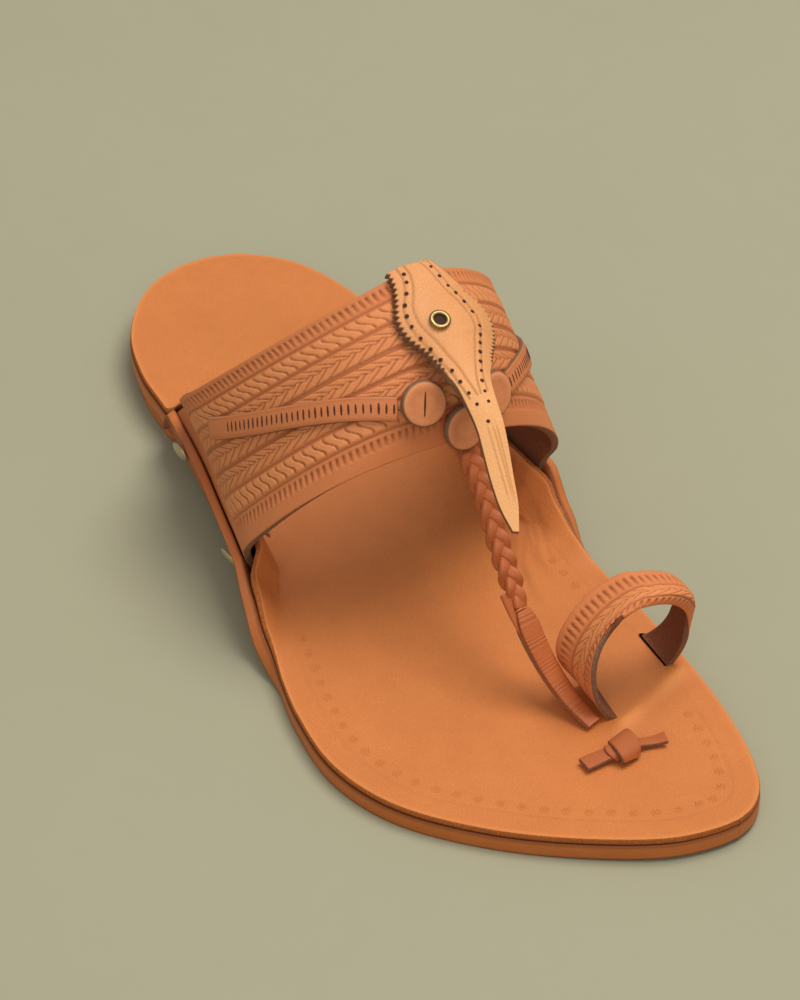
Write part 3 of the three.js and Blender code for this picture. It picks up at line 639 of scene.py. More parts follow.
def sheet_of(outer, inner, coarse=1, bulge=0.3, marks=None):
    """A closed sheet between two grids, its cut edges rounded. Gives the solid and its marks:
    cut is 1 on the cut edge and inside is 1 on the inner grid."""
    rows, cols = outer.shape[:2]
    loop = border(rows, cols)
    flat_out, flat_in = outer.reshape(-1, 3), inner.reshape(-1, 3)
    i, j = loop // cols, loop % cols
    i_in = np.where(i == 0, 1, np.where(i == rows - 1, rows - 2, i))
    j_in = np.where(j == 0, 1, np.where(j == cols - 1, cols - 2, j))
    away = unit(flat_out[loop] - flat_out[i_in * cols + j_in])
    rims = []
    for w in RIM_STEPS:
        rims.append(flat_out[loop] * (1 - w) + flat_in[loop] * w
                    + away * bulge * math.sin(math.pi * w))
    lines = [sorted(set(range(0, n, coarse)) | {n - 1}) for n in (rows, cols)]
    kept = np.zeros((rows, cols), bool)
    kept[np.ix_(*lines)] = True
    kept.ravel()[loop] = True
    count = len(loop)
    first_in = rows * cols + len(rims) * count
    number = np.full(rows * cols, -1)
    number[kept.ravel()] = first_in + np.arange(kept.sum())
    points = np.vstack([flat_out, *rims, flat_in[kept.ravel()]])
    k = (np.arange(rows - 1)[:, None] * cols + np.arange(cols - 1)[None]).ravel()
    faces = np.stack([k, k + 1, k + cols + 1, k + cols], 1).tolist()
    loops = [loop]
    loops += [rows * cols + r * count + np.arange(count) for r in range(len(rims))]
    loops.append(number[loop])
    for a, b in zip(loops[:-1], loops[1:]):
        faces += np.stack([np.roll(a, -1), a, b, np.roll(b, -1)], 1).tolist()
    grid = number.reshape(rows, cols)
    for i0, i1 in zip(lines[0][:-1], lines[0][1:]):
        for j0, j1 in zip(lines[1][:-1], lines[1][1:]):
            walk = [grid[i0, q] for q in range(j0, j1)] + [grid[q, j1] for q in range(i0, i1)]
            walk += [grid[i1, q] for q in range(j1, j0, -1)]
            walk += [grid[q, j0] for q in range(i1, i0, -1)]
            faces.append([int(q) for q in walk if q >= 0][::-1])
    outer_count, rim_count, inner_count = rows * cols, len(rims) * count, int(kept.sum())
    made = {
        "cut": np.repeat([0.0, 1.0, 0.0], [outer_count, rim_count, inner_count]),
        "inside": np.repeat([0.0, 1.0], [outer_count + rim_count, inner_count]),
    }
    made["cut"][number[loop]] = 0.6
    for key, values in (marks or {}).items():
        values = np.asarray(values, float).ravel()
        rim = np.tile(values[loop], len(rims))
        made[key] = np.concatenate([values, rim, values[kept.ravel()]])
    return solid(points, faces), made


def tube(rings, ends=True):
    """A closed solid through a row of rings, or one that meets itself again."""
    count, n = rings.shape[:2]
    points = rings.reshape(-1, 3)
    turns = count - 1 if ends else count
    faces = []
    for i in range(turns):
        a = i * n + np.arange(n)
        b = ((i + 1) % count) * n + np.arange(n)
        faces += np.stack([a, np.roll(a, -1), np.roll(b, -1), b], 1).tolist()
    if ends:
        faces.append(list(range(n))[::-1])
        faces.append([(count - 1) * n + k for k in range(n)])
    return solid(points, faces)


def sweep(centre, wide, section):
    """Rings of a section (count, n, 2) across and through, along a centre line."""
    tangent = unit(np.gradient(centre, axis=0))
    wide = unit(wide - tangent * (wide * tangent).sum(-1, keepdims=True))
    thick = np.cross(tangent, wide)
    return (centre[:, None] + wide[:, None] * section[..., :1]
            + thick[:, None] * section[..., 1:])


def rounded(width, height, n=20, square=0.55):
    """A rounded oblong section, squarer as square falls towards 0."""
    a = np.linspace(0, 2 * np.pi, n, endpoint=False)
    return np.stack([power(np.cos(a), square) * width / 2,
                     power(np.sin(a), square) * height / 2], -1)


def turned(p, n, forward, profile, sides, ends=True, oval=1.0):
    """A turned piece on a place: rings of a radius and height over it."""
    side = unit(np.cross(n, forward))
    ahead = np.cross(side, n)
    a = np.linspace(0, 2 * np.pi, sides, endpoint=False)
    circle = side * np.cos(a)[:, None] * oval + ahead * np.sin(a)[:, None]
    return tube(np.array([p + circle * r + n * h for r, h in profile]), ends)


# ---- materials -----------------------------------------------------------------------------


class Wire:
    """A socket of a material. Sums on it add Math nodes."""

    def __init__(self, board, socket):
        self.board, self.socket = board, socket

    def _sum(self, operation, *values):
        node = self.board.node("ShaderNodeMath", {"operation": operation},
                               dict(enumerate(values)))
        return Wire(self.board, node.outputs[0])

    def __add__(self, other):
        return self._sum("ADD", self, other)

    def __sub__(self, other):
        return self._sum("SUBTRACT", self, other)

    def __rsub__(self, other):
        return self._sum("SUBTRACT", other, self)

    def __mul__(self, other):
        return self._sum("MULTIPLY", self, other)

    __radd__, __rmul__ = __add__, __mul__

    def clip(self):
        return self._sum("MINIMUM", self._sum("MAXIMUM", self, 0.0), 1.0)

    def step(self, low, high):
        """0 below low, 1 above high and even between them."""
        return ((self - low) * (1 / (high - low))).clip()


class Board:
    """The node tree of one material."""

    def __init__(self, name):
        self.material = bpy.data.materials.new(name)
        self.material.use_nodes = True
        self.tree = self.material.node_tree
        self.shader = next(n for n in self.tree.nodes if n.type == "BSDF_PRINCIPLED")

    def node(self, kind, settings, values):
        node = self.tree.nodes.new(kind)
        for key, value in settings.items():
            setattr(node, key, value)
        for key, value in values.items():
            self.put(node, key, value)
        return node

    def put(self, node, key, value):
        if isinstance(key, int):
            socket = node.inputs[key]
        else:
            socket = next(s for s in node.inputs if key in (s.identifier, s.name))
        if isinstance(value, Wire):
            self.tree.links.new(value.socket, socket)
        else:
            socket.default_value = value

    def place(self):
        node = self.node("ShaderNodeTexCoord", {}, {})
        return Wire(self, node.outputs["Object"])

    def mark(self, name):
        node = self.node("ShaderNodeAttribute", {"attribute_name": name}, {})
        return Wire(self, node.outputs["Fac"])

    def noise(self, place, scale, detail=3.0, rough=0.55):
        node = self.node("ShaderNodeTexNoise", {}, {
            "Vector": place, "Scale": scale, "Detail": detail, "Roughness": rough})
        return Wire(self, node.outputs["Fac"])

    def cells(self, place, scale):
        node = self.node("ShaderNodeTexVoronoi", {"feature": "DISTANCE_TO_EDGE"},
                         {"Vector": place, "Scale": scale})
        return Wire(self, node.outputs["Distance"])

    def stretched(self, place, *scale):
        node = self.node("ShaderNodeMapping", {}, {"Vector": place, "Scale": scale})
        return Wire(self, node.outputs["Vector"])

    def mix(self, share, first, second):
        first, second = (c if isinstance(c, Wire) else (*c, 1.0) for c in (first, second))
        node = self.node("ShaderNodeMix", {"data_type": "RGBA"}, {
            "Factor_Float": share, "A_Color": first, "B_Color": second})
        return Wire(self, next(s for s in node.outputs if s.identifier == "Result_Color"))

    def finish(self, colour, roughness, height=None, strength=0.5, distance=0.0003, **fixed):
        self.put(self.shader, "Base Color", colour)
        self.put(self.shader, "Roughness", roughness)
        if height is not None:
            bump = self.node("ShaderNodeBump", {}, {
                "Strength": strength, "Distance": distance, "Height": height})
            self.put(self.shader, "Normal", Wire(self, bump.outputs["Normal"]))
        for key, value in fixed.items():
            self.put(self.shader, key.replace("_", " "), value)
        return self.material


def shade(colour, by, warm=0.0):
    """A colour made darker or lighter, and redder by warm."""
    red, green, blue = (c * by for c in colour)
    return (min(red, 1), min(green * (1 - warm), 1), min(blue * (1 - 1.6 * warm), 1))


def leather(name, colour, gloss=0.5, grain=1.0, mottle=0.5, coat=0.0, streak=0.0, raw=None):
    """Vegetable-tanned leather. Marks on the mesh darken what is tooled, lighten worn places and
    paint highlights on raised tooling and bevelled edges, and give cut edges and the flesh side
    their own look; the flesh side's dark colour is also painted shade under the strap."""
    b = Board(name)
    place = b.place()
    patches = b.noise(place, 30, 4)
    blotches = b.noise(place, 130, 3)
    specks = b.noise(place, 700, 3, 0.65)
    pores = b.cells(place, 1 / (sizes().grain * grain)).step(0.02, 0.32)
    creases = b.noise(b.stretched(place, 260, 700, 420), 1.0, 5, 0.6)
    tool, cut, inside, wear_and_highlight = (b.mark(key) for key in ("tool", "cut", "inside", "wear_and_highlight"))
    tone = b.mix((patches * 0.9 + blotches * 0.5 - 0.2).clip() * mottle + specks * 0.25,
                 shade(colour, 0.8, 0.05), shade(colour, 1.1, -0.02))
    tone = b.mix((1 - pores) * 0.22, tone, shade(colour, 0.55, 0.12))
    if streak:
        lines = b.noise(b.stretched(place, 90, 900, 900), 1.0, 4, 0.6).step(0.35, 0.7)
        tone = b.mix(lines * streak, tone, shade(colour, 0.5, 0.12))
    tone = b.mix(tool.clip() * 0.92, tone, shade(colour, 0.3, 0.22))
    # lighter, paler tone: painted highlight on raised tooling and bevelled edges, and real wear
    # and paler leather elsewhere
    tone = b.mix(wear_and_highlight.clip() * 0.6, tone, shade(colour, 1.35, -0.16))
    fibres = b.noise(place, 1500, 4, 0.7)
    raw = raw or colours().raw
    raw = b.mix(fibres.step(0.3, 0.7), shade(raw, 0.55), shade(raw, 1.25))
    tone = b.mix(cut.step(0.25, 0.85), tone, raw)
    # flesh side: its dark colour is partly painted shade under the strap
    suede_and_shade = b.mix(fibres.step(0.25, 0.75), shade(colours().suede_and_shade, 0.7),
                  shade(colours().suede_and_shade, 1.2))
    tone = b.mix(inside, tone, suede_and_shade)
    roughness = (specks * 0.16 + gloss + 0.02 + cut * 0.25 + inside * 0.35
                 + tool * 0.1).clip()
    height = (pores * 0.5 + creases * 0.6 + specks * 0.3) * (1 - cut) + fibres * cut
    height = height + fibres * inside
    return b.finish(tone, roughness, height, 0.45, 0.00025,
                    Specular_IOR_Level=0.3, Coat_Weight=coat, Coat_Roughness=0.35)


def edged_leather(name, colour, gloss=0.45):
    """Leather of the stacked soles: a dark burnished line runs along the top of the side."""
    b = Board(name)
    place = b.place()
    patches = b.noise(place, 45, 4)
    fibres = b.noise(b.stretched(place, 160, 160, 1600), 1.0, 5, 0.65)
    specks = b.noise(place, 900, 3, 0.65)
    depth, inside = b.mark("depth"), b.mark("inside")
    tone = b.mix((patches * 0.8 + fibres * 0.4 - 0.1).clip(), shade(colour, 0.68, 0.06),
                 shade(colour, 1.12, -0.02))
    tone = b.mix(specks.step(0.55, 0.8) * 0.25, tone, shade(colour, 0.45, 0.15))
    burnish = (1 - depth.step(0.02, 0.28)) * 0.75
    tone = b.mix(burnish, tone, shade(colour, 0.3, 0.15))
    worn = b.noise(place, 60, 5, 0.7).step(0.45, 0.7)
    tone = b.mix(inside * (worn * 0.4 + 0.35), tone, shade(colours().suede_and_shade, 0.9))
    roughness = (fibres * 0.25 + gloss + inside * 0.2 - 0.1).clip()
    return b.finish(tone, roughness, fibres + specks * 0.4, 0.4, 0.0003,
                    Specular_IOR_Level=0.4)


def brass(name, colour):
    """Tarnished brass."""
    b = Board(name)
    place = b.place()
    stain = b.noise(place, 420, 5, 0.7)
    scratch = b.noise(b.stretched(place, 300, 3000, 900), 1.0, 3, 0.6)
    tone = b.mix(stain.step(0.4, 0.75) * 0.7, colour, shade(colour, 0.28, 0.1))
    roughness = (stain * 0.35 + scratch * 0.15 + 0.12).clip()
    return b.finish(tone, roughness, scratch, 0.15, 0.0001, Metallic=1.0)


def shadowed(name, colour):
    """The dark inside of a punched hole or slit."""
    b = Board(name)
    specks = b.noise(b.place(), 2500, 3, 0.6)
    return b.finish(b.mix(specks, shade(colour, 0.5), shade(colour, 1.3)), specks * 0.1 + 0.8,
                    specks, 0.2, 0.0001)


def floor_paint(name, colour):
    """Plain matt floor with faint clouds."""
    b = Board(name)
    place = b.place()
    clouds = b.noise(place, 5, 5, 0.6)
    grit = b.noise(place, 90, 4, 0.6)
    tone = b.mix((clouds * 0.8 + grit * 0.25 - 0.05).clip(), shade(colour, 0.93),
                 shade(colour, 1.06))
    return b.finish(tone, grit * 0.05 + 0.85, grit, 0.05, 0.0005, Specular_IOR_Level=0.1)


# ---- marks that repeat, by geometry nodes --------------------------------------------------


def mark_tree(name, material, petals=0):
    """A tree that sets a small shaped mark on each guide point, turned by the point's facing
    and heading. With petals it is a flower of that many petals round a middle."""
    tree = bpy.data.node_groups.new(name, "GeometryNodeTree")
    face = tree.interface
    face.new_socket("Geometry", in_out="INPUT", socket_type="NodeSocketGeometry")
    for label, start in (("Length", 0.001), ("Width", 0.001), ("Height", 0.0002)):
        item = face.new_socket(label, in_out="INPUT", socket_type="NodeSocketFloat")
        item.default_value = start
    item = face.new_socket("Seed", in_out="INPUT", socket_type="NodeSocketInt")
    item.default_value = 4
    face.new_socket("Geometry", in_out="OUTPUT", socket_type="NodeSocketGeometry")

    def add(kind, settings=None, **links):
        node = tree.nodes.new(kind)
        for key, value in (settings or {}).items():
            setattr(node, key, value)
        for key, value in links.items():
            socket = next(s for s in node.inputs
                          if key.replace("_", " ") in (s.name, s.identifier))
            if isinstance(value, bpy.types.NodeSocket):
                tree.links.new(value, socket)
            else:
                socket.default_value = value
        return node

    given = add("NodeGroupInput")
    size = add("ShaderNodeCombineXYZ", X=given.outputs["Length"], Y=given.outputs["Width"],
               Z=given.outputs["Height"])
    bead = add("GeometryNodeMeshUVSphere", Segments=8, Rings=5, Radius=0.5)
    shape = bead.outputs["Mesh"]
    if petals:
        circle = add("GeometryNodeMeshCircle", Vertices=petals, Radius=0.36)
        petal = add("GeometryNodeTransform", Geometry=bead.outputs["Mesh"],
                    Scale=(0.34, 0.34, 0.8))
        middle = add("GeometryNodeTransform", Geometry=bead.outputs["Mesh"],
                     Scale=(0.3, 0.3, 1.0))
        wreath = add("GeometryNodeInstanceOnPoints", Points=circle.outputs["Mesh"],
                     Instance=petal.outputs["Geometry"])
        joined = add("GeometryNodeJoinGeometry")
        tree.links.new(wreath.outputs["Instances"], joined.inputs[0])
        tree.links.new(middle.outputs["Geometry"], joined.inputs[0])
        shape = joined.outputs[0]
    sized = add("GeometryNodeTransform", Geometry=shape, Scale=size.outputs[0])
    up = add("GeometryNodeInputNamedAttribute", {"data_type": "FLOAT_VECTOR"}, Name="facing")
    ahead = add("GeometryNodeInputNamedAttribute", {"data_type": "FLOAT_VECTOR"},
                Name="heading")
    stand = add("FunctionNodeAlignRotationToVector", {"axis": "Z"}, Vector=up.outputs[0])
    turn = add("FunctionNodeAlignRotationToVector", {"axis": "X", "pivot_axis": "Z"},
               Rotation=stand.outputs[0], Vector=ahead.outputs[0])
    uneven = add("FunctionNodeRandomValue", {"data_type": "FLOAT"}, Seed=given.outputs["Seed"])
    for socket in uneven.inputs:
        if socket.name == "Min" and socket.type == "VALUE":
            socket.default_value = 0.88
        if socket.name == "Max" and socket.type == "VALUE":
            socket.default_value = 1.12
    chance = next(s for s in uneven.outputs if s.enabled)
    placed = add("GeometryNodeInstanceOnPoints", Points=given.outputs["Geometry"],
                 Instance=sized.outputs["Geometry"], Rotation=turn.outputs[0], Scale=chance)
    real = add("GeometryNodeRealizeInstances", Geometry=placed.outputs["Instances"])
    even = add("GeometryNodeSetShadeSmooth", Geometry=real.outputs[0])
    painted = add("GeometryNodeSetMaterial", Geometry=even.outputs[0], Material=material)
    out = add("NodeGroupOutput")
    tree.links.new(painted.outputs[0], out.inputs[0])
    return tree


def set_marks(name, tree, places, facings, headings, values, nodes=()):
    """Runs a tree on guide points and keeps the result as a plain piece."""
    guide = bpy.data.meshes.new(name + "_guide")
    guide.from_pydata(set_down(places).tolist(), [], [])
    for key, vectors in (("facing", facings), ("heading", headings)):
        layer = guide.attributes.new(key, "FLOAT_VECTOR", "POINT")
        layer.data.foreach_set("vector", np.asarray(vectors, np.float32).ravel())
    holder = bpy.data.objects.new(name + "_guide", guide)
    bpy.context.scene.collection.objects.link(holder)
    modifier = holder.modifiers.new("marks", "NODES")
    modifier.node_group = tree
    for item in tree.interface.items_tree:
        if item.in_out == "INPUT" and item.name in values:
            modifier[item.identifier] = values[item.name]
    bpy.context.view_layer.update()
    ready = holder.evaluated_get(bpy.context.evaluated_depsgraph_get())
    mesh = bpy.data.meshes.new_from_object(ready)
    mesh.name = name
    holder.modifiers.remove(modifier)
    bpy.data.objects.remove(holder)
    return keep(name, mesh, nodes)


# ---- tooling -------------------------------------------------------------------------------


def near_whole(q):
    """Distance to the nearest whole number."""
    return np.abs(q - np.round(q))


def bars(s, y, pitch):
    """Short slots across the row: height and darkness."""
    hit = (1 - smooth(near_whole(s / pitch), 0.1, 0.27)) * (1 - smooth(np.abs(y), 0.62, 0.88))
    return -hit, hit * smooth(y, 0.9, -0.7) * 0.85


def rope(s, y, pitch):
    """A twisted rope of slanted links."""
    q = s / pitch - 0.5 * y - 0.2 * np.sin(np.pi * y)
    groove = 1 - smooth(near_whole(q), 0.03, 0.15)
    inside = 1 - smooth(np.abs(y), 0.78, 1.0)
    eye = bell(near_whole(q + 0.5), 0.07) * bell(y, 0.35) * 0.5
    height = inside * (0.65 - 0.9 * groove - 0.5 * eye) - 0.14 * (1 - inside)
    return height, np.clip(groove * inside + 0.16 * (1 - inside) + eye * 0.5, 0, 1) * 0.66


def wheat(s, y, pitch, lean=1.15):
    """Two rows of leaves that meet in the middle, like an ear of wheat."""
    y = y + 0.16
    q = s / pitch + np.where(y < 0, -y * lean * 1.1, y * lean * 0.75 + 0.5) + 0.2 * y * y
    groove = 1 - smooth(near_whole(q), 0.03, 0.15)
    seam = bell(y + 0.12 * np.sin(2 * np.pi * s / pitch), 0.07)
    inside = 1 - smooth(np.abs(y - 0.16), 0.84, 1.0)
    vein = bell(near_whole(q + 0.5), 0.05) * 0.35
    height = inside * (0.55 - 0.9 * groove - 0.6 * seam - vein) - 0.12 * (1 - inside)
    dark = np.clip(groove * inside + seam * 0.8 + 0.14 * (1 - inside) + vein * 0.6, 0, 1)
    return height, dark * 0.6


def tooled(rows, lines, middle, v, depth, leaf_scale=1.0):
    """Relief in millimetres and darkness of a band with rows of patterns and plain lines."""
    s = crest_run(middle)
    width = run_of(np.swapaxes(middle, 0, 1))[-1][:, None]
    patterns = {"bars": (bars, sizes().bars * 1000), "rope": (rope, sizes().rope * 1000),
                "wheat": (wheat, sizes().leaf * 1000 * leaf_scale)}
    v = v + np.zeros_like(s)
    height, dark = np.zeros_like(s), np.zeros_like(s)
    for name, low, high in rows:
        y = (v - (low + high) / 2) / ((high - low) / 2)
        pattern, pitch = patterns[name]
        h, d = pattern(s, y, pitch)
        within = np.abs(y) <= 1
        height = np.where(within, h, height)
        dark = np.where(within, d, dark)
    for at in lines:
        groove = bell((v - at) * width, 0.3)
        height = np.where(groove > 0.15, -groove, height)
        dark = np.maximum(dark, groove * 0.6)
    return height * depth, dark


def crest_run(points):
    """Distance along a band from its crest, for rows of points along it."""
    run = run_of(points)
    return run - run[len(run) // 2]


# ---- pieces --------------------------------------------------------------------------------

LATERAL_X, MEDIAL_X = STRAP["lateral"]["foot"], STRAP["medial"]["foot"]


def strap_behind(x, lateral):
    """How much of the strap lies behind the insole's wing, from 0 to 1."""
    rear = np.where(lateral, LATERAL_X[0], MEDIAL_X[0])
    front = np.where(lateral, LATERAL_X[1], MEDIAL_X[1])
    return smooth(x, rear - 5, rear - 0.5) * (1 - smooth(x, front + 0.5, front + 5))


class SANDAL_OT_soles(bpy.types.Operator):
    """Outsole, insole and heel lift"""

    bl_idname = "sandal.soles"
    bl_label = "Soles"

    def execute(self, context):
        self.outsole()
        self.insole()
        self.heel()
        return {"FINISHED"}

    def outsole(self):
        points, normals, _ = crossing(stations(230), 0, 6, 5, 26)
        thick = EAR_T + (OUTSOLE_T - EAR_T) * smooth(normals[..., 2], 0.3, 1)
        under = points - normals * thick[..., None]
        part, marks = sheet_of(points, under, 1, 0.15)
        count = points.shape[0] * points.shape[1]
        rims = (len(part[0]) - 2 * count) // len(RIM_STEPS)
        marks["depth"] = np.concatenate([
            np.zeros(count), np.repeat(RIM_STEPS, rims), np.ones(count)])
        show("outsole_leather", [part], edged_leather("sole leather", colours().sole),
             ["outsole"], marks)

    def insole(self):
        points, normals, rim = crossing(stations(330), INSOLE_INSET, 12, 9, 84)
        lateral = np.arange(points.shape[1])[None] < points.shape[1] / 2
        pocket = POCKET * strap_behind(points[..., 0], lateral)
        under = GAP + pocket * smooth(1 - normals[..., 2], 0.02, 0.3)
        rim = edge_distance(points, rim, INSOLE_INSET)
        x, y = points[..., 0], points[..., 1]
        # the lace runs hidden under the leather from the thong's slot to the medial edge
        a, b = np.array(HIDDEN_LACE)
        run = np.clip(((x - a[0]) * (b - a)[0] + (y - a[1]) * (b - a)[1]) / ((b - a) @ (b - a)),
                      0, 1)
        off = np.hypot(x - a[0] - run * (b - a)[0], y - a[1] - run * (b - a)[1])
        lace = bell(off, HIDDEN_LACE_W) * (0.75 + 0.25 * np.sin(run * 9))
        wrinkle = np.zeros_like(x)
        for at, slope, width, start, end in WRINKLES:
            window = smooth(x, start, start + 8) * (1 - smooth(x, end - 8, end))
            wave = 0.7 * np.sin(x / 5.1 + at)
            wrinkle += bell(rim - at - slope * (x - start) - wave, width) * window * ~lateral
        # the hidden lace's ridge is lightened as wear and painted highlight, and a painted
        # highlight runs along the bevelled edge
        worn = lace * smooth(run, 0.02, 0.15) * 0.9 + bell(rim, 0.8) * 0.45
        lift = HIDDEN_LACE_RISE * lace - WRINKLE_DEPTH * wrinkle
        lift = lift - HEEL_HOLLOW_DEPTH * dish(x, y, HEEL_HOLLOW)
        lift = lift - BALL_HOLLOW_DEPTH * dish(x, y, BALL_HOLLOW)
        lift = lift - EDGE_LINE_DEPTH * bell(rim - EDGE_LINE, 0.35) * (x > 24)
        over = under + INSOLE_T + lift
        top = points + normals * over[..., None]
        base = points + normals * under[..., None]
        fold = bell(rim - EDGE_LINE, 0.4) * smooth(x, 14, 24) * 0.1 + wrinkle * 0.22
        part, marks = sheet_of(top, base, 3, 0.4, {"tool": fold, "wear_and_highlight": worn})
        show("insole_leather", [part],
             leather("insole leather", colours().insole, 0.47, 1.0, 0.8, 0.06, 0.0,
                     shade(colours().sole, 0.8, 0.04)),
             ["insole"], marks)

    def heel(self):
        points, _, _ = crossing(np.linspace(0.02, 0.42, 130), HEEL_INSET, 4, 2, 5)
        sides = []
        for ear, edge, flat in ((EAR_LATERAL, 0, 6), (EAR_MEDIAL, -1, -7)):
            tuck = np.clip(read(ear, points[:, edge, 0], 1) / HEEL_TUCK, 0, 1)[:, None]
            side = points[:, edge] + (points[:, flat] - points[:, edge]) * tuck
            sides.append(side[points[:, edge, 0] < HEEL_BREAST_X, :2])
        tip = np.array([[OUTLINE[0][0] + HEEL_INSET, 0]])
        outline = np.vstack([sides[0][::-1], tip, sides[1]])
        f = np.linspace(0, 1, 24)[1:-1, None]
        breast = outline[-1] * (1 - f) + outline[0] * f
        breast[:, 0] -= HEEL_BREAST_BOW * np.sin(np.pi * f[:, 0])
        outline = np.vstack([outline, breast])
        centre = outline.mean(0)
        top = bed(outline[:, 0]) - OUTSOLE_T - GAP
        rings, depth = [], []
        for share, inset in LIFT_PROFILE:
            shrink = 1 - inset / 34
            ring = np.c_[centre + (outline - centre) * shrink, top * share]
            rings.append(ring)
            depth += [0.15 + 0.7 * (0.5 - abs(share - 0.5)) * 2] * len(outline)
        show("heel_leather", [tube(np.array(rings))],
             bpy.data.materials["sole leather"], ["heel_lift"],
             {"depth": depth})


def dish(x, y, place):
    """How deep a worn hollow is at places on the insole, from 0 to 1."""
    return bell(np.hypot((x - place[0]) / place[2], (y - place[1]) / place[3]), 1.0)


def level_line(distance, count):
    """Points of the insole's top at a distance inside its edge, round the forefoot, with the
    direction along the edge."""
    t = np.linspace(0.535, 0.9995, 900)
    outline = np.vstack([lateral_edge(t), medial_edge(t)[::-1]])
    ahead = unit(np.gradient(outline, axis=0))
    inner = outline + np.c_[-ahead[:, 1], ahead[:, 0]] * (distance + INSOLE_INSET)
    clear = np.array([
        np.sqrt(((p - outline) ** 2).sum(1)).min() > distance + INSOLE_INSET - 0.15
        for p in inner])
    inner = inner[clear]
    run = run_of(inner)
    s = np.linspace(0, run[-1], count)
    xy = np.stack([np.interp(s, run, inner[:, k]) for k in (0, 1)], -1)
    return xy, unit(np.gradient(xy, axis=0))


class SANDAL_OT_stamps(bpy.types.Operator):
    """Flower stamps round the insole's edge"""

    bl_idname = "sandal.stamps"
    bl_label = "Stamps"

    def execute(self, context):
        size = sizes().stamp
        length = run_of(level_line(STAMP_LINE, 300)[0])[-1]
        xy, ahead = level_line(STAMP_LINE, int(length / (sizes().stamp_pitch * 1000)))
        shown = ~((xy[:, 0] > 60) & (xy[:, 0] < 92) & (xy[:, 1] > 0))
        shown &= ~((xy[:, 0] < 26) & (xy[:, 1] > 0))
        xy, ahead = xy[shown], ahead[shown]
        z = bed(xy[:, 0]) + GAP + INSOLE_T
        ball = dish(*xy.T, BALL_HOLLOW)
        places = np.c_[xy, z - BALL_HOLLOW_DEPTH * ball + 0.02]
        up = np.tile([0, 0, 1.0], (len(xy), 1))
        look = leather("stamped leather", shade(colours().insole, 1.06, -0.03), 0.46, 0.5)
        tree = mark_tree("Flower stamps", look, 6)
        set_marks("insole_stamps", tree, places, up, np.c_[ahead, np.zeros(len(xy))], {
            "Length": size, "Width": size, "Height": 0.00022,
            "Seed": sizes().seed})
        return {"FINISHED"}


class SANDAL_OT_strap(bpy.types.Operator):
    """Instep strap with its tooled rows"""

    bl_idname = "sandal.strap"
    bl_label = "Strap"

    def execute(self, context):
        u = np.linspace(0, 1, 471)[:, None]
        v = np.linspace(0, 1, 131)[None]
        middle = strap_surface(u, v)
        n = facing(strap_surface, u + 0 * v, v + 0 * u)
        relief, dark = tooled(STRAP_ROWS, STRAP_LINES, middle, v, sizes().depth * 1000)
        reach = run_of(middle)
        ends = smooth(reach, 1.5, 5) * (1 - smooth(reach - reach[-1:], -5, -1.5))
        relief, dark = relief * ends, dark * ends
        outer = middle + n * (STRAP_T / 2 + relief)[..., None]
        inner = middle - n * (STRAP_T / 2)
        feet = []
        downs = np.array([0.85, 0.7, 0.55, 0.4, 0.25, 0.12])
        for side, ends_x in ((-1, LATERAL_X), (1, MEDIAL_X)):
            x = ends_x[0] + (ends_x[1] - ends_x[0]) * v[0]
            order = downs if side < 0 else downs[::-1]
            feet.append([np.array([against_ear(side, x, d, GAP + off) for d in order])
                         for off in (0, STRAP_T)])
        outer = np.concatenate([feet[0][0], outer, feet[1][0]])
        inner = np.concatenate([feet[0][1], inner, feet[1][1]])
        pad = np.zeros((len(downs), v.shape[1]))
        dark = np.concatenate([pad, dark, pad])
        # painted highlight: the raised parts of the tooling are made lighter through the wear
        # mark
        high = np.concatenate([pad, np.clip(relief, 0, 1), pad])
        part, marks = sheet_of(outer, inner, 5, 0.35, {"tool": dark, "wear_and_highlight": high * 2.4})
        show("strap_tooled", [part],
             leather("strap leather", colours().tooled, 0.5, 0.7, 0.5, 0.05),
             ["strap"], marks)
        return {"FINISHED"}


class SANDAL_OT_ring(bpy.types.Operator):
    """Toe ring"""

    bl_idname = "sandal.ring"
    bl_label = "Toe ring"

    def execute(self, context):
        u = np.linspace(0, 1, 300)[:, None]
        v = np.linspace(0, 1, 53)[None]
        middle = ring_surface(u, v)
        n = facing(ring_surface, u + 0 * v, v + 0 * u)
        relief, dark = tooled(RING_ROWS, RING_LINES, middle, v, sizes().depth * 850, 0.9)
        outer = middle + n * (RING_T / 2 + relief)[..., None]
        inner = middle - n * (RING_T / 2)
        for grid in (outer, inner):
            base = bed(grid[..., 0]) + INSOLE_T + 2 * GAP
            grid[..., 2] = np.maximum(grid[..., 2], base)
        # painted highlight: the raised parts of the tooling are made lighter through the wear
        # mark
        part, marks = sheet_of(outer, inner, 4, 0.25,
                               {"tool": dark, "wear_and_highlight": np.clip(relief, 0, 1) * 2.4})
        show("toe_ring_tooled", [part],
             leather("ring leather", shade(colours().tooled, 1.08), 0.48, 0.7, 0.5, 0.05),
             ["toe_ring"], marks)
        return {"FINISHED"}


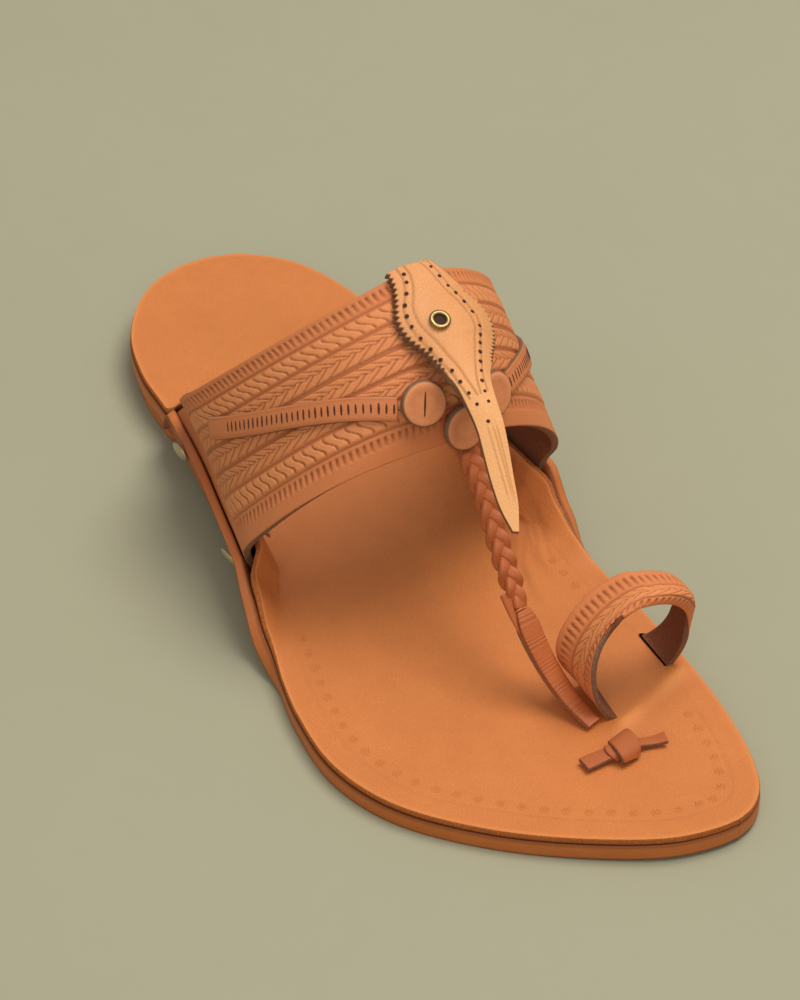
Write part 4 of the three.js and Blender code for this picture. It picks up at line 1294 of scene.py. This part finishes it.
class SANDAL_OT_discs(bpy.types.Operator):
    """Three leather discs on the strap, the lateral one with a lacing slit"""

    bl_idname = "sandal.discs"
    bl_label = "Discs"

    def execute(self, context):
        look = leather("disc leather", colours().disc, 0.5, 0.6, 0.5, 0.05, 0.25)
        places, facings, headings = [], [], []
        for name, (u, v) in DISCS.items():
            p, n, forward = (a[0] for a in on_strap(u, v, 1.1))
            r, h = DISC_R, DISC_T
            profile = [(0.2, 0.02), (r - 1.4, 0), (r - 0.6, 0.15), (r - 0.1, 0.6), (r, 1.1),
                       (r - 0.02, h - 1), (r - 0.25, h - 0.45), (r - 0.8, h - 0.12),
                       (r - 1.7, h - 0.02), (r - 2.8, h - 0.12), (2, h - 0.16), (0.2, h - 0.18)]
            part = turned(p, n, forward, profile, 72)
            radii = np.repeat([q[0] for q in profile], 72)
            heights = np.repeat([q[1] for q in profile], 72)
            cut = smooth(radii, r - 0.9, r - 0.2) * (1 - smooth(heights, h - 0.5, h - 0.1))
            show(f"disc_{name}_leather", [part], look, [f"disc_{name}"],
                 {"cut": cut, "wear_and_highlight": bell(radii - r + 1, 0.5) * 0.4,
                  "tool": bell(radii - r + 2.6, 0.6) * 0.14})
            if name == "lateral":
                places.append(p + n * (h - 0.16))
                facings.append(n)
                headings.append(forward)
        tree = mark_tree("Lacing slits", shadowed("slit shadow", linear(70, 34, 20)))
        set_marks("disc_slits", tree, np.array(places), facings, headings,
                  {"Length": 0.0085, "Width": 0.0006, "Height": 0.0002, "Seed": 1})
        return {"FINISHED"}


class SANDAL_OT_trims(bpy.types.Operator):
    """Slit trims from the ears to the discs"""

    bl_idname = "sandal.trims"
    bl_label = "Slit trims"

    def execute(self, context):
        look = leather("trim leather", shade(colours().tooled, 0.98), 0.5, 0.7, 0.5, 0.05)
        places, facings, headings = [], [], []
        for name, (start, end) in TRIMS.items():
            f = np.linspace(0, TRIM_REACH, 120)
            u, v = (a + (b - a) * f for a, b in zip(start, end))
            e = 0.01
            per_u = (strap_surface(u + e, v) - strap_surface(u - e, v)) / (2 * e)
            per_v = (strap_surface(u, v + e) - strap_surface(u, v - e)) / (2 * e)
            ahead = unit(np.gradient(strap_surface(u, v), axis=0))
            across = unit(np.cross(facing(strap_surface, u, v), ahead))
            across = across * np.sign((across * per_v).sum(-1, keepdims=True))
            grid = np.stack([per_u, per_v], 1)
            step = np.linalg.solve(grid @ np.swapaxes(grid, 1, 2), grid @ across[..., None])
            step = step[..., 0] * TRIM_W / 2
            a = np.linspace(-1, 1, 13)
            uu = u[:, None] + a[None] * step[:, :1]
            vv = v[:, None] + a[None] * step[:, 1:]
            n = facing(strap_surface, uu, vv)
            middle = strap_surface(uu, vv)
            crown = 0.15 * (1 - a**2)[None]
            top = middle + n * (STRAP_T / 2 + GAP + TRIM_T + crown - 0.15)[..., None]
            base = middle + n * (STRAP_T / 2 + GAP * 0.4)
            tool = bell(np.abs(a) - 0.78, 0.09)[None] * np.ones_like(uu) * 0.35
            part, marks = sheet_of(top, base, 1, 0.2, {"tool": tool})
            show(f"trim_{name}_leather", [part], look, [f"trim_{name}"],
                 marks)
            run = run_of(middle[:, 6])
            count = int((run[-1] - 10) / (sizes().slit * 1000))
            at = np.interp(np.linspace(TRIM_PLAIN, run[-1] - 0.8, count), run, f)
            u, v = (a + (b - a) * at for a, b in zip(start, end))
            p, n, _ = on_strap(u, v, GAP + TRIM_T + 0.01)
            places.append(p)
            facings.append(n)
            headings.append(np.stack([np.interp(at, f, across[:, k]) for k in range(3)], -1))
        tree = mark_tree("Trim slits", shadowed("trim shadow", linear(84, 40, 24)))
        set_marks("trim_slits", tree, np.vstack(places), np.vstack(facings),
                  np.vstack(headings), {"Length": 0.003, "Width": 0.00062,
                                        "Height": 0.0002, "Seed": 2})
        return {"FINISHED"}


class SANDAL_OT_flap(bpy.types.Operator):
    """Bird-head flap with pinked edges, tooled lines, punched holes and eyelet"""

    bl_idname = "sandal.flap"
    bl_label = "Flap"

    def execute(self, context):
        pitch = sizes().pinking * 1000
        f = np.linspace(0, 1, 300)
        a = np.linspace(-1, 1, 61)
        lateral, medial = along(FLAP[:, :3], f), along(FLAP[:, 3:6], f)
        half = np.linalg.norm(medial - lateral, axis=1) / 2
        tooth = []
        for edge, (low, high, size) in zip((lateral, medial), PINKED):
            run = run_of(edge)
            wave = 2 * near_whole(run / pitch)
            ends = smooth(f, low, low + 0.02) * (1 - smooth(f, high, high + 0.04))
            tooth.append(wave * size * ends)
        left = -1 + tooth[0] / np.maximum(half, 1)
        right = 1 - tooth[1] / np.maximum(half, 1)
        across = left[:, None] + (right - left)[:, None] * (a[None] + 1) / 2
        under, n = flap_under(f[:, None] + 0 * across, across)
        holes = np.array(HOLES)
        hole_rows = holes[:LATERAL_HOLES], holes[LATERAL_HOLES:]
        lines = np.zeros_like(across)
        width = half[:, None]
        for k, offset in FLAP_LINES:
            row = hole_rows[k][np.argsort(hole_rows[k][:, 0])]
            at = np.interp(f, row[:, 0], row[:, 1])[:, None] + offset / np.maximum(width, 2)
            lines += bell((across - at) * width, 0.28) * (f < 0.6)[:, None]
        for start, end in BEAK_LINES:
            at = (start + (end - start) * smooth(f, 0.62, 0.95))[:, None]
            fade = smooth(f, 0.66, 0.72) * (1 - smooth(f, 0.86, 0.95))
            lines += bell((across - at) * width, 0.2) * fade[:, None] * 0.7
        lines = np.clip(lines, 0, 1)
        top = under + n * (FLAP_T - 0.28 * lines)[..., None]
        teeth = np.clip(1 - (1 - np.abs(a))[None] * width / 0.55, 0, 1)
        teeth = teeth * (f < 0.5)[:, None] * 0.75
        part, marks = sheet_of(top, under, 1, 0.12,
                               {"tool": np.maximum(lines * 0.6, teeth * 0.9),
                                "wear_and_highlight": smooth(f, 0.42, 0.7)[:, None] * (1 - lines * 0.5) * 0.4})
        show("flap_leather", [part],
             leather("flap leather", colours().pale, 0.5, 1.3, 0.6, 0.04),
             ["flap"], marks)
        self.holes(holes)
        self.eyelet()
        return {"FINISHED"}

    def holes(self, holes):
        p, n = flap_under(holes[:, 0], holes[:, 1])
        ahead = unit(flap_under(holes[:, 0] + 0.01, holes[:, 1])[0] - p)
        side = unit(flap_under(holes[:, 0], holes[:, 1] + 0.05)[0] - p)
        n = unit(np.cross(ahead, side))
        n = n * np.sign(n[:, 2:])
        size = sizes().hole
        tree = mark_tree("Punched holes", shadowed("hole shadow", linear(66, 30, 18)))
        set_marks("flap_holes", tree, p + n * (FLAP_T + 0.01), n, ahead,
                  {"Length": size, "Width": size, "Height": 0.00024, "Seed": 3})

    def eyelet(self):
        f, a = EYELET_AT
        p, further, beside = flap_under(np.array([f, f + 0.02, f]),
                                        np.array([a, a, a + 0.1]))[0]
        ahead, side = unit(further - p), beside - p
        n = unit(np.cross(ahead, side))
        n = n * math.copysign(1, n[2])
        angle = np.linspace(0, 2 * np.pi, 20, endpoint=False)
        profile = [(EYELET_R + 0.66 * math.cos(q), 0.3 + 0.42 * math.sin(q)) for q in angle]
        rim = turned(p + n * (FLAP_T + 0.35), n, ahead, profile, 48, False)
        show("eyelet_brass", [rim], brass("brass", colours().brass), ["eyelet"])
        well = turned(p + n * (FLAP_T + 0.1), n, ahead,
                      [(0.1, 0), (1.5, 0), (1.75, 0.15), (1.6, 0.3), (0.1, 0.12)], 24)
        show("eyelet_well", [well], bpy.data.materials["hole shadow"])


class SANDAL_OT_thong(bpy.types.Operator):
    """Plaited toe thong and the folded strip that it ends in"""

    bl_idname = "sandal.thong"
    bl_label = "Toe thong"

    def execute(self, context):
        look = leather("plait leather", colours().plait, 0.4, 0.6, 0.5, 0.15)
        self.plait(look)
        self.strip(look)
        return {"FINISHED"}

    def plait(self, look):
        rows = THONG[: THONG_PLAIT_END + 1]
        t = np.linspace(0, 1, 260)
        centre = along(rows, t)
        back = np.linspace(PLAIT_HIDDEN, 0.3, 14)[:, None]
        centre = np.vstack([centre[0] - unit(centre[1] - centre[0]) * back, centre])
        t = np.linspace(0, 1, len(centre))
        run = run_of(centre)
        tangent = unit(np.gradient(centre, axis=0))
        wide = np.tile([0, 1.0, 0], (len(t), 1))
        wide = unit(wide - tangent * (wide * tangent).sum(-1, keepdims=True))
        thick = np.cross(tangent, wide)
        period = sizes().plait * 1000
        parts = []
        for k in range(3):
            phase = 2 * np.pi * (run / period + k / 3)
            ends = smooth(run, 0, 4) * (1 - 0.55 * smooth(run, run[-1] - 7, run[-1]))
            path = centre + wide * (LACE_SWING * np.sin(phase) * ends)[:, None]
            path = path + thick * (LACE_DEPTH * np.sin(2 * phase) * ends)[:, None]
            swell = 1 + 0.1 * np.cos(2 * phase)
            section = rounded(*LACE_SECTION, 18, 0.7)[None] * swell[:, None, None]
            roll = 0.5 * np.cos(phase)
            c, s = np.cos(roll)[:, None], np.sin(roll)[:, None]
            turned_section = np.stack([section[..., 0] * c - section[..., 1] * s,
                                       section[..., 0] * s + section[..., 1] * c], -1)
            parts.append(tube(sweep(path, wide, turned_section)))
        # one lace ends in a pointed tail beside the strip
        end = centre[-1] - tangent[-1] * 1.5
        f = np.linspace(0, 1, 40)[:, None]
        tail = end + wide[-1] * -3.1 + tangent[-1] * (f * 11.5 - 3) - thick[-1] * (0.5 * f)
        tail = tail + wide[-1] * (0.8 * f)
        taper = (1 - 0.9 * f**2)[..., None]
        section = rounded(2.6, 1.3, 12)[None] * taper
        parts.append(tube(sweep(tail, np.tile(wide[-1], (40, 1)), section)))
        show("plait", parts, look, ["braid"])

    def strip(self, look):
        rows = THONG[THONG_PLAIT_END:].copy()
        rows[0] = rows[0] + (rows[1] - rows[0]) * 0.08
        t = np.linspace(0, 1, 220)
        centre = along(rows, t)
        run = run_of(centre)
        n = 40
        angle = np.linspace(0, 2 * np.pi, n, endpoint=False)
        width, height = (a + (b - a) * t for a, b in zip(STRIP_START, STRIP_END))
        start = (0.5 + 0.5 * np.sqrt(np.clip(run / 5, 0, 1)))[:, None]
        section = rounded(1, 1, n, 0.6)[None] * (np.stack([width, height], -1) * start)[:, None]
        # fine wrinkles cross the fold, and a groove runs where its edge lies
        wave = np.sin(run * 5.2 + 2.4 * np.sin(run * 0.8)) * np.sin(run * 0.47 + 0.4) ** 2
        wave = wave[:, None]
        wrinkle = 0.08 * wave
        top = smooth(np.sin(angle), 0.1, 0.7)[None]
        edge = bell(np.abs(angle - np.pi * 0.93), 0.2)[None]
        section = section * (1 + wrinkle * top / 2 - 0.22 * edge)[..., None]
        side = np.tile([0, 1.0, 0], (len(t), 1))
        part = tube(sweep(centre, side, section))
        marks = {"cut": (bell(np.abs(angle - np.pi * 1.06), 0.24)[None] * np.ones((220, 1))),
                 "tool": np.clip(-wave * top * 0.25 + edge * 0.6, 0, 1)}
        show("thong_strip", [part], look, ["toe_thong"], marks)


class SANDAL_OT_knot(bpy.types.Operator):
    """Lace knot in front of the toe ring"""

    bl_idname = "sandal.knot"
    bl_label = "Lace knot"

    def execute(self, context):
        parts, cuts = [], []
        for ribbon in KNOT:
            part, marks = self.ribbon(*ribbon)
            parts.append(part)
            cuts.append(marks["cut"])
        show("knot_lace", parts,
             leather("knot leather", shade(colours().plait, 0.92), 0.48, 0.5, 0.5, 0.05),
             ["lace_knot"], {"cut": np.concatenate(cuts)})
        return {"FINISHED"}

    def ribbon(self, points, widths, thickness, across):
        count = 60
        t = np.linspace(0, 1, count)
        centre = along(np.array(points, float) + np.array([0, 0, KNOT_Z]), t)
        width = np.interp(t, np.linspace(0, 1, len(widths)), widths)
        tangent = unit(np.gradient(centre, axis=0))
        side = np.tile(np.array(across, float), (count, 1))
        side = unit(side - tangent * (side * tangent).sum(-1, keepdims=True))
        up = np.cross(tangent, side)
        up = up * np.sign(up[:, 2:] + 1e-6)
        a = np.linspace(-1, 1, 15)
        middle = centre[:, None] + side[:, None] * (a[None] * width[:, None] / 2)[..., None]
        cup = 0.18 * (1 - a**2)[None, :, None] * up[:, None]
        top = middle + up[:, None] * thickness / 2 + cup
        base = middle - up[:, None] * thickness / 2 + cup
        return sheet_of(top, base, 1, 0.15)


class SANDAL_OT_rivets(bpy.types.Operator):
    """Domed rivets through ear, strap and wing"""

    bl_idname = "sandal.rivets"
    bl_label = "Rivets"

    def execute(self, context):
        look = bpy.data.materials["brass"]
        for place, (lateral, medial, down) in RIVETS.items():
            for name, side, x in (("lateral", -1, lateral), ("medial", 1, medial)):
                for face in ("outer", "inner"):
                    if place == "rear" and face == "inner":
                        continue
                    self.head(f"rivet_{place}_{name}_{face}", side, x, down, face, look)
        return {"FINISHED"}

    def head(self, node, side, x, down, face, look):
        outside = face == "outer"
        inner = GAP + POCKET + INSOLE_T + INSOLE_INSET
        offset = -EAR_T - RIVET_RISE if outside else inner + RIVET_WING_RISE
        p = against_ear(side, x, down, offset)[0]
        n = against_ear(side, x, down, offset + 1)[0] - p
        n = unit(-n if outside else n)
        forward = np.array([1.0, 0, 0])
        forward = unit(forward - n * (forward @ n))
        profile = [(0.2, 0), *((RIVET_R * share, h) for share, h in RIVET_PROFILE),
                   (0.15, 1.11)]
        show(node + "_brass", [turned(p, n, forward, profile, 40, True, 0.86)], look,
             [node])


class SANDAL_OT_stage(bpy.types.Operator):
    """Floor, lights and camera"""

    bl_idname = "sandal.stage"
    bl_label = "Stage"

    def execute(self, context):
        scene = context.scene
        scene.view_settings.view_transform = "Standard"
        mesh = bpy.data.meshes.new("floor")
        r = FLOOR_REACH
        mesh.from_pydata([(-r, -r, 0), (r, -r, 0), (r, r, 0), (-r, r, 0)], [], [(0, 1, 2, 3)])
        mesh.materials.append(floor_paint("floor paint", colours().floor))
        floor = bpy.data.objects.new("floor", mesh)
        scene.collection.objects.link(floor)
        world = bpy.data.worlds.new("studio")
        world.use_nodes = True
        sky = world.node_tree.nodes["Background"]
        sky.inputs["Color"].default_value = WORLD_COLOUR
        sky.inputs["Strength"].default_value = WORLD_STRENGTH
        scene.world = world
        for name, aim, distance, size, power, colour in LIGHTS:
            data = bpy.data.lights.new(name, "AREA")
            data.shape, data.size, data.energy, data.color = "DISK", size, power, colour
            lamp = bpy.data.objects.new(name, data)
            direction = Vector(aim).normalized()
            lamp.location = Vector(LIGHTS_AIM) + direction * distance
            lamp.rotation_euler = direction.to_track_quat("Z", "Y").to_euler()
            scene.collection.objects.link(lamp)
        self.camera(scene)
        return {"FINISHED"}

    def camera(self, scene):
        data = bpy.data.cameras.new("camera")
        data.lens = CAMERA_LENS
        data.clip_end = 20
        eye, target = Vector(set_down(CAMERA_EYE)), Vector(set_down(CAMERA_TARGET))
        back = (eye - target).normalized()
        right = Vector((0, 0, 1)).cross(back).normalized()
        turn = Matrix((right, back.cross(right), back)).transposed()
        camera = bpy.data.objects.new("camera", data)
        camera.matrix_world = Matrix.Translation(eye) @ turn.to_4x4()
        scene.collection.objects.link(camera)
        scene.camera = camera


ORDER = ("stage", "soles", "stamps", "strap", "ring", "discs", "trims", "flap", "thong",
         "knot", "rivets")


class SANDAL_PT_panel(bpy.types.Panel):
    """Lists the sandal's pieces"""

    bl_label = "Sandal"
    bl_idname = "SANDAL_PT_panel"
    bl_space_type = "VIEW_3D"
    bl_region_type = "UI"
    bl_category = "Sandal"

    def draw(self, context):
        for group in (context.scene.sandal_sizes, context.scene.sandal_colours):
            for key in group.__annotations__:
                self.layout.prop(group, key)
        for key in ORDER:
            self.layout.operator("sandal." + key)


CLASSES = (
    SandalSizes, SandalColours, SANDAL_OT_stage, SANDAL_OT_soles, SANDAL_OT_stamps,
    SANDAL_OT_strap, SANDAL_OT_ring, SANDAL_OT_discs, SANDAL_OT_trims, SANDAL_OT_flap,
    SANDAL_OT_thong, SANDAL_OT_knot, SANDAL_OT_rivets, SANDAL_PT_panel,
)


def register():
    for made in CLASSES:
        bpy.utils.register_class(made)
    bpy.types.Scene.sandal_sizes = PointerProperty(type=SandalSizes)
    bpy.types.Scene.sandal_colours = PointerProperty(type=SandalColours)


def unregister():
    del bpy.types.Scene.sandal_colours
    del bpy.types.Scene.sandal_sizes
    for made in reversed(CLASSES):
        bpy.utils.unregister_class(made)


def main():
    register()
    for key in ORDER:
        getattr(bpy.ops.sandal, key)()


if __name__ == "__main__":
    main()
